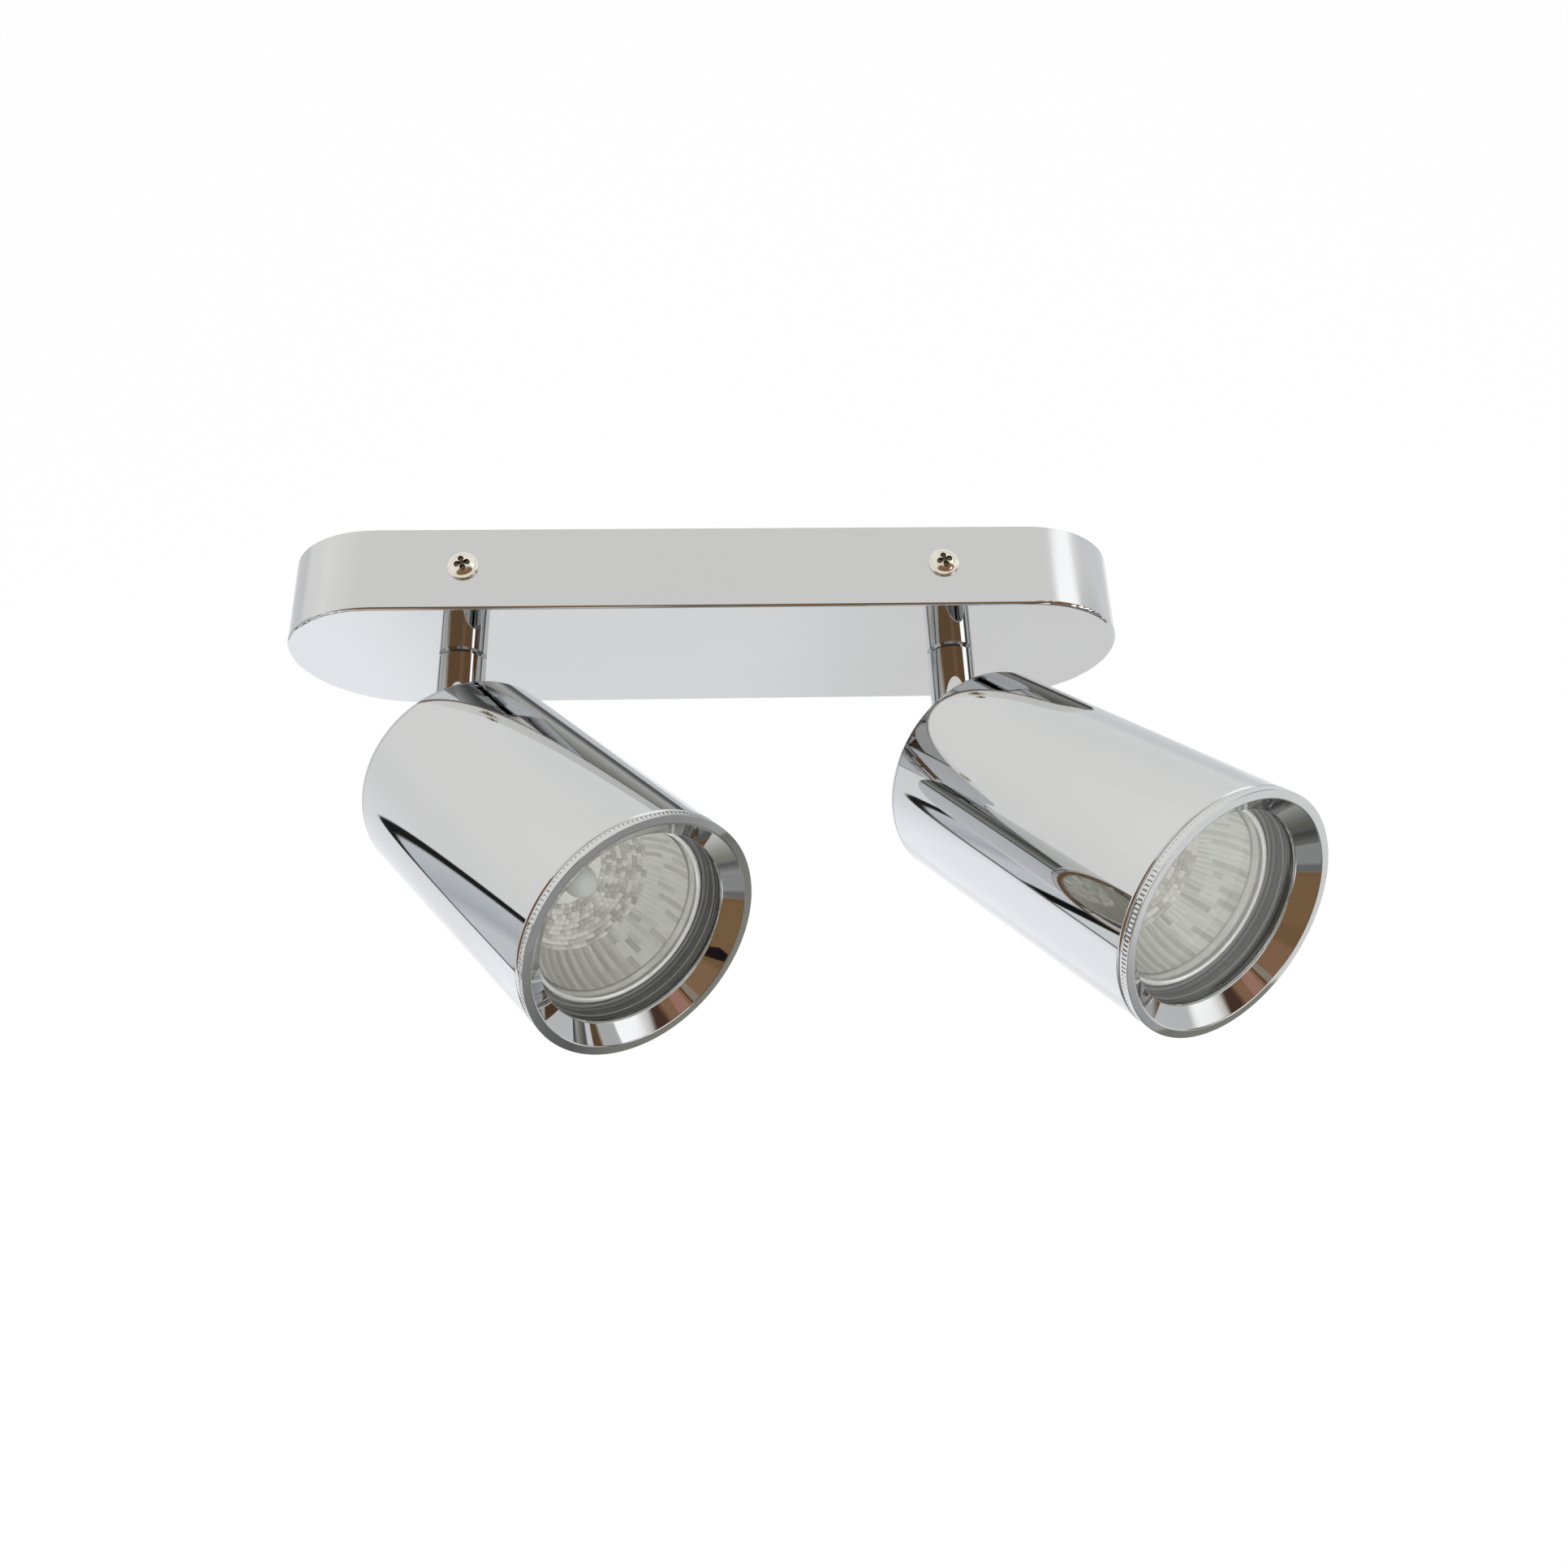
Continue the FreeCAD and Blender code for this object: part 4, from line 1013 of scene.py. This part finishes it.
def card(name, corners, paint, studio):
    """Sheet that only the polished metal sees; paint gives its colour and cover."""
    sheet = piece(name, corners, [(0, 1, 2, 3)])
    material = bpy.data.materials.new("finish_" + name)
    material.use_nodes = True
    tree = material.node_tree
    tree.nodes.clear()
    maths = Maths(tree)
    place = tree.nodes.new("ShaderNodeTexCoord")
    split = tree.nodes.new("ShaderNodeSeparateXYZ")
    link(tree, place.outputs["Object"], split.inputs["Vector"])
    colour, cover = paint(maths, split.outputs)
    glow = tree.nodes.new("ShaderNodeEmission")
    glow.inputs["Strength"].default_value = studio.room_gain
    link(tree, colour, glow.inputs["Color"])
    through = tree.nodes.new("ShaderNodeBsdfTransparent")
    blend = tree.nodes.new("ShaderNodeMixShader")
    output = tree.nodes.new("ShaderNodeOutputMaterial")
    maths.feed(blend.inputs["Fac"], cover)
    link(tree, through.outputs["BSDF"], blend.inputs[1])
    link(tree, glow.outputs["Emission"], blend.inputs[2])
    link(tree, blend.outputs["Shader"], output.inputs["Surface"])
    put_finish(sheet, material)
    sheet.visible_camera = False
    sheet.visible_diffuse = False
    sheet.visible_transmission = False
    sheet.visible_shadow = False


def side_panel(maths, place):
    """Grey panel a metre to the left, dark round its edge, with one dark upright."""
    middle = (0.285, 0.3075)
    half = (0.315, 0.4075)
    corner = 0.18
    forward = maths.calc("MULTIPLY", place["Y"], -1.0)
    across = maths.calc("ABSOLUTE", maths.calc("SUBTRACT", forward, middle[0]))
    upright = maths.calc("ABSOLUTE", maths.calc("ADD", place["Z"], middle[1]))
    across = maths.calc("MAXIMUM", maths.calc("SUBTRACT", across, half[0] - corner), 0.0)
    upright = maths.calc("MAXIMUM", maths.calc("SUBTRACT", upright, half[1] - corner), 0.0)
    squares = maths.calc("ADD", maths.calc("POWER", across, 2.0), maths.calc("POWER", upright, 2.0))
    depth = maths.calc("SUBTRACT", corner, maths.calc("SQRT", squares))
    cover = maths.rise(depth, 0.002, 0.004)
    colour = maths.bands(forward, -0.03, 0.5, (
        (-0.03, tone(184, 187, 191)),
        (0.05, tone(172, 176, 181)),
        (0.1, tone(160, 164, 170)),
        (0.15, tone(184, 187, 190)),
        (0.215, tone(182, 185, 188)),
        (0.3, tone(196, 198, 199)),
        (0.5, tone(190, 191, 192)),
    ))
    colour = maths.mix(maths.within(forward, 0.233, 0.292, 0.007), colour, grey(18))
    edge = maths.within(depth, -0.02, 0.036, 0.007)
    low = maths.within(place["Z"], -0.78, -0.67, 0.02)
    shade = maths.mix(low, grey(26), grey(96))
    return maths.mix(edge, colour, shade), cover


def front_floor(maths, place):
    """Ground in front of the bar, lightest just past its near edge."""
    away = maths.calc("MULTIPLY", place["Y"], -1.0)
    colour = maths.bands(away, 0.2, 1.8, (
        (0.2, grey(84)),
        (0.36, grey(96)),
        (0.43, tone(184, 184, 181)),
        (0.5, tone(168, 168, 163)),
        (0.62, tone(142, 142, 135)),
        (0.78, tone(120, 120, 112)),
        (0.92, tone(114, 114, 108)),
        (1.05, grey(86)),
        (1.2, grey(100)),
        (1.45, tone(124, 124, 121)),
        (1.8, grey(138)),
    ))
    east = maths.within(place["X"], 0.21, 0.66, 0.02)
    colour = maths.mix(maths.calc("MULTIPLY", east, 0.5), colour, grey(20))
    return colour, maths.rise(away, 0.305, 0.01)


def dark_strip(maths, place):
    """Narrow black bar overhead, a little warmer towards the wall."""
    near, far = -0.42, -0.53
    return maths.bands(place["Y"], far, near, ((far, tone(20, 18, 26)), (near, tone(34, 22, 20)))), 1.0


def lay_floor(studio):
    """Round pale floor that the camera sees as near white; it isn't mirrored."""
    reach = 1.6
    count = 64
    verts = [(0.0, 0.0, -studio.floor_drop)]
    for j in range(count):
        a = 2 * math.pi * j / count
        verts.append((reach * math.cos(a), reach * math.sin(a), -studio.floor_drop))
    floor = piece("floor", verts, [(0, 1 + j, 1 + (j + 1) % count) for j in range(count)])
    material, tree, shader = new_finish("finish_floor")
    shader.inputs["Base Color"].default_value = (0.86, 0.86, 0.86, 1)
    shader.inputs["Roughness"].default_value = 0.9
    light = tree.nodes.new("ShaderNodeLightPath")
    seen = Maths(tree).calc("MULTIPLY", light.outputs["Is Camera Ray"], CAMERA_WHITE)
    glow = tree.nodes.new("ShaderNodeEmission")
    blend = tree.nodes.new("ShaderNodeMixShader")
    output = [node for node in tree.nodes if node.type == "OUTPUT_MATERIAL"][0]
    link(tree, seen, blend.inputs["Fac"])
    link(tree, shader.outputs["BSDF"], blend.inputs[1])
    link(tree, glow.outputs["Emission"], blend.inputs[2])
    link(tree, blend.outputs["Shader"], output.inputs["Surface"])
    put_finish(floor, material)
    floor.visible_glossy = False
    floor.visible_transmission = False


def hang_cards(studio):
    """Panel on the left, ground in front and a strip overhead, for the chrome to mirror."""
    panel = [(-1.0, 0.03, 0.11), (-1.0, -0.61, 0.11), (-1.0, -0.61, -0.74), (-1.0, 0.03, -0.74)]
    card("side_panel", panel, side_panel, studio)
    ground = [(-0.9, -0.27, -0.3), (1.3, -0.27, -0.3), (1.3, -1.8, -0.3), (-0.9, -1.8, -0.3)]
    card("front_floor", ground, front_floor, studio)
    strip = [(-0.001, -0.418), (-0.032, -0.464), (-0.042, -0.532), (-0.003, -0.486)]
    card("dark_strip", [(x, y, 0.455) for x, y in strip], dark_strip, studio)


def hang_lamp(name, power, wide, place):
    """Soft area lamp aimed at the heads; the chrome doesn't mirror it."""
    lamp = bpy.data.lights.new(name, "AREA")
    lamp.energy = power
    lamp.size = wide
    made = bpy.data.objects.new(name, lamp)
    made.location = place
    heads = Vector((0, -0.07, 0))
    aim = heads - made.location
    made.rotation_euler = aim.to_track_quat("-Z", "Y").to_euler()
    made.visible_glossy = False
    bpy.context.scene.collection.objects.link(made)


def place_camera(scene):
    """Viewpoint of the photograph: steeply from above the bar's long side."""
    flat = math.cos(CAMERA_LIFT)
    away = Vector((math.sin(CAMERA_TURN) * flat, -math.cos(CAMERA_TURN) * flat, math.sin(CAMERA_LIFT)))
    level = (-away).cross(Vector((0, 0, 1))).normalized()
    upright = level.cross(-away)
    right = math.cos(CAMERA_ROLL) * level + math.sin(CAMERA_ROLL) * upright
    up = -math.sin(CAMERA_ROLL) * level + math.cos(CAMERA_ROLL) * upright
    camera = bpy.data.cameras.new("photo_view")
    camera.sensor_width = SENSOR
    camera.lens = SENSOR * FOCAL_PIXELS / PHOTO_PIXELS
    camera.clip_start = 0.01
    view = bpy.data.objects.new("photo_view", camera)
    matrix = Matrix((right, up, away)).transposed().to_4x4()
    matrix.translation = away * CAMERA_AWAY + right * CAMERA_RIGHT - up * CAMERA_DOWN
    view.matrix_world = matrix
    scene.collection.objects.link(view)
    scene.camera = view


class WALLBAR_OT_studio(bpy.types.Operator):
    """Set the pale floor, the soft light, the reflected room and the camera"""
    bl_idname = "wallbar.studio"
    bl_label = "Studio"

    def execute(self, context):
        studio = context.scene.wall_bar_studio
        paint_world(studio)
        lay_floor(studio)
        hang_cards(studio)
        hang_lamp("overhead", studio.key_power, wide=0.9, place=(-0.5, -0.9, 1.1))
        hang_lamp("front_fill", studio.fill_power, wide=0.4, place=(0.66, -0.64, 0.52))
        place_camera(context.scene)
        context.scene.view_settings.view_transform = "Standard"
        return {"FINISHED"}


class WALLBAR_PT_panel(bpy.types.Panel):
    bl_label = "Wall Bar Spotlight"
    bl_idname = "WALLBAR_PT_panel"
    bl_space_type = "VIEW_3D"
    bl_region_type = "UI"
    bl_category = "Wall Bar"

    def draw(self, context):
        for kind in OPERATORS:
            self.layout.operator(kind.bl_idname)
        for name in GROUPS:
            group = getattr(context.scene, name)
            box = self.layout.box()
            for key in group.bl_rna.properties.keys():
                if key not in ("rna_type", "name"):
                    box.prop(group, key)


GROUPS = {
    "wall_bar_finishes": WallBarFinishes,
    "wall_bar_rings": WallBarRings,
    "wall_bar_lamps": WallBarLamps,
    "wall_bar_screws": WallBarScrews,
    "wall_bar_studio": WallBarStudio,
}
OPERATORS = (
    WALLBAR_OT_finishes, WALLBAR_OT_rings, WALLBAR_OT_lamps, WALLBAR_OT_screws, WALLBAR_OT_studio)


def register():
    for kind in (*GROUPS.values(), *OPERATORS, WALLBAR_PT_panel):
        bpy.utils.register_class(kind)
    for name, kind in GROUPS.items():
        setattr(bpy.types.Scene, name, bpy.props.PointerProperty(type=kind))


def unregister():
    for name in GROUPS:
        delattr(bpy.types.Scene, name)
    for kind in (WALLBAR_PT_panel, *reversed(OPERATORS), *reversed(GROUPS.values())):
        bpy.utils.unregister_class(kind)


def main():
    register()
    bpy.ops.wallbar.finishes()
    bpy.ops.wallbar.rings()
    bpy.ops.wallbar.lamps()
    bpy.ops.wallbar.screws()
    bpy.ops.wallbar.studio()


if __name__ == "__main__":
    main()
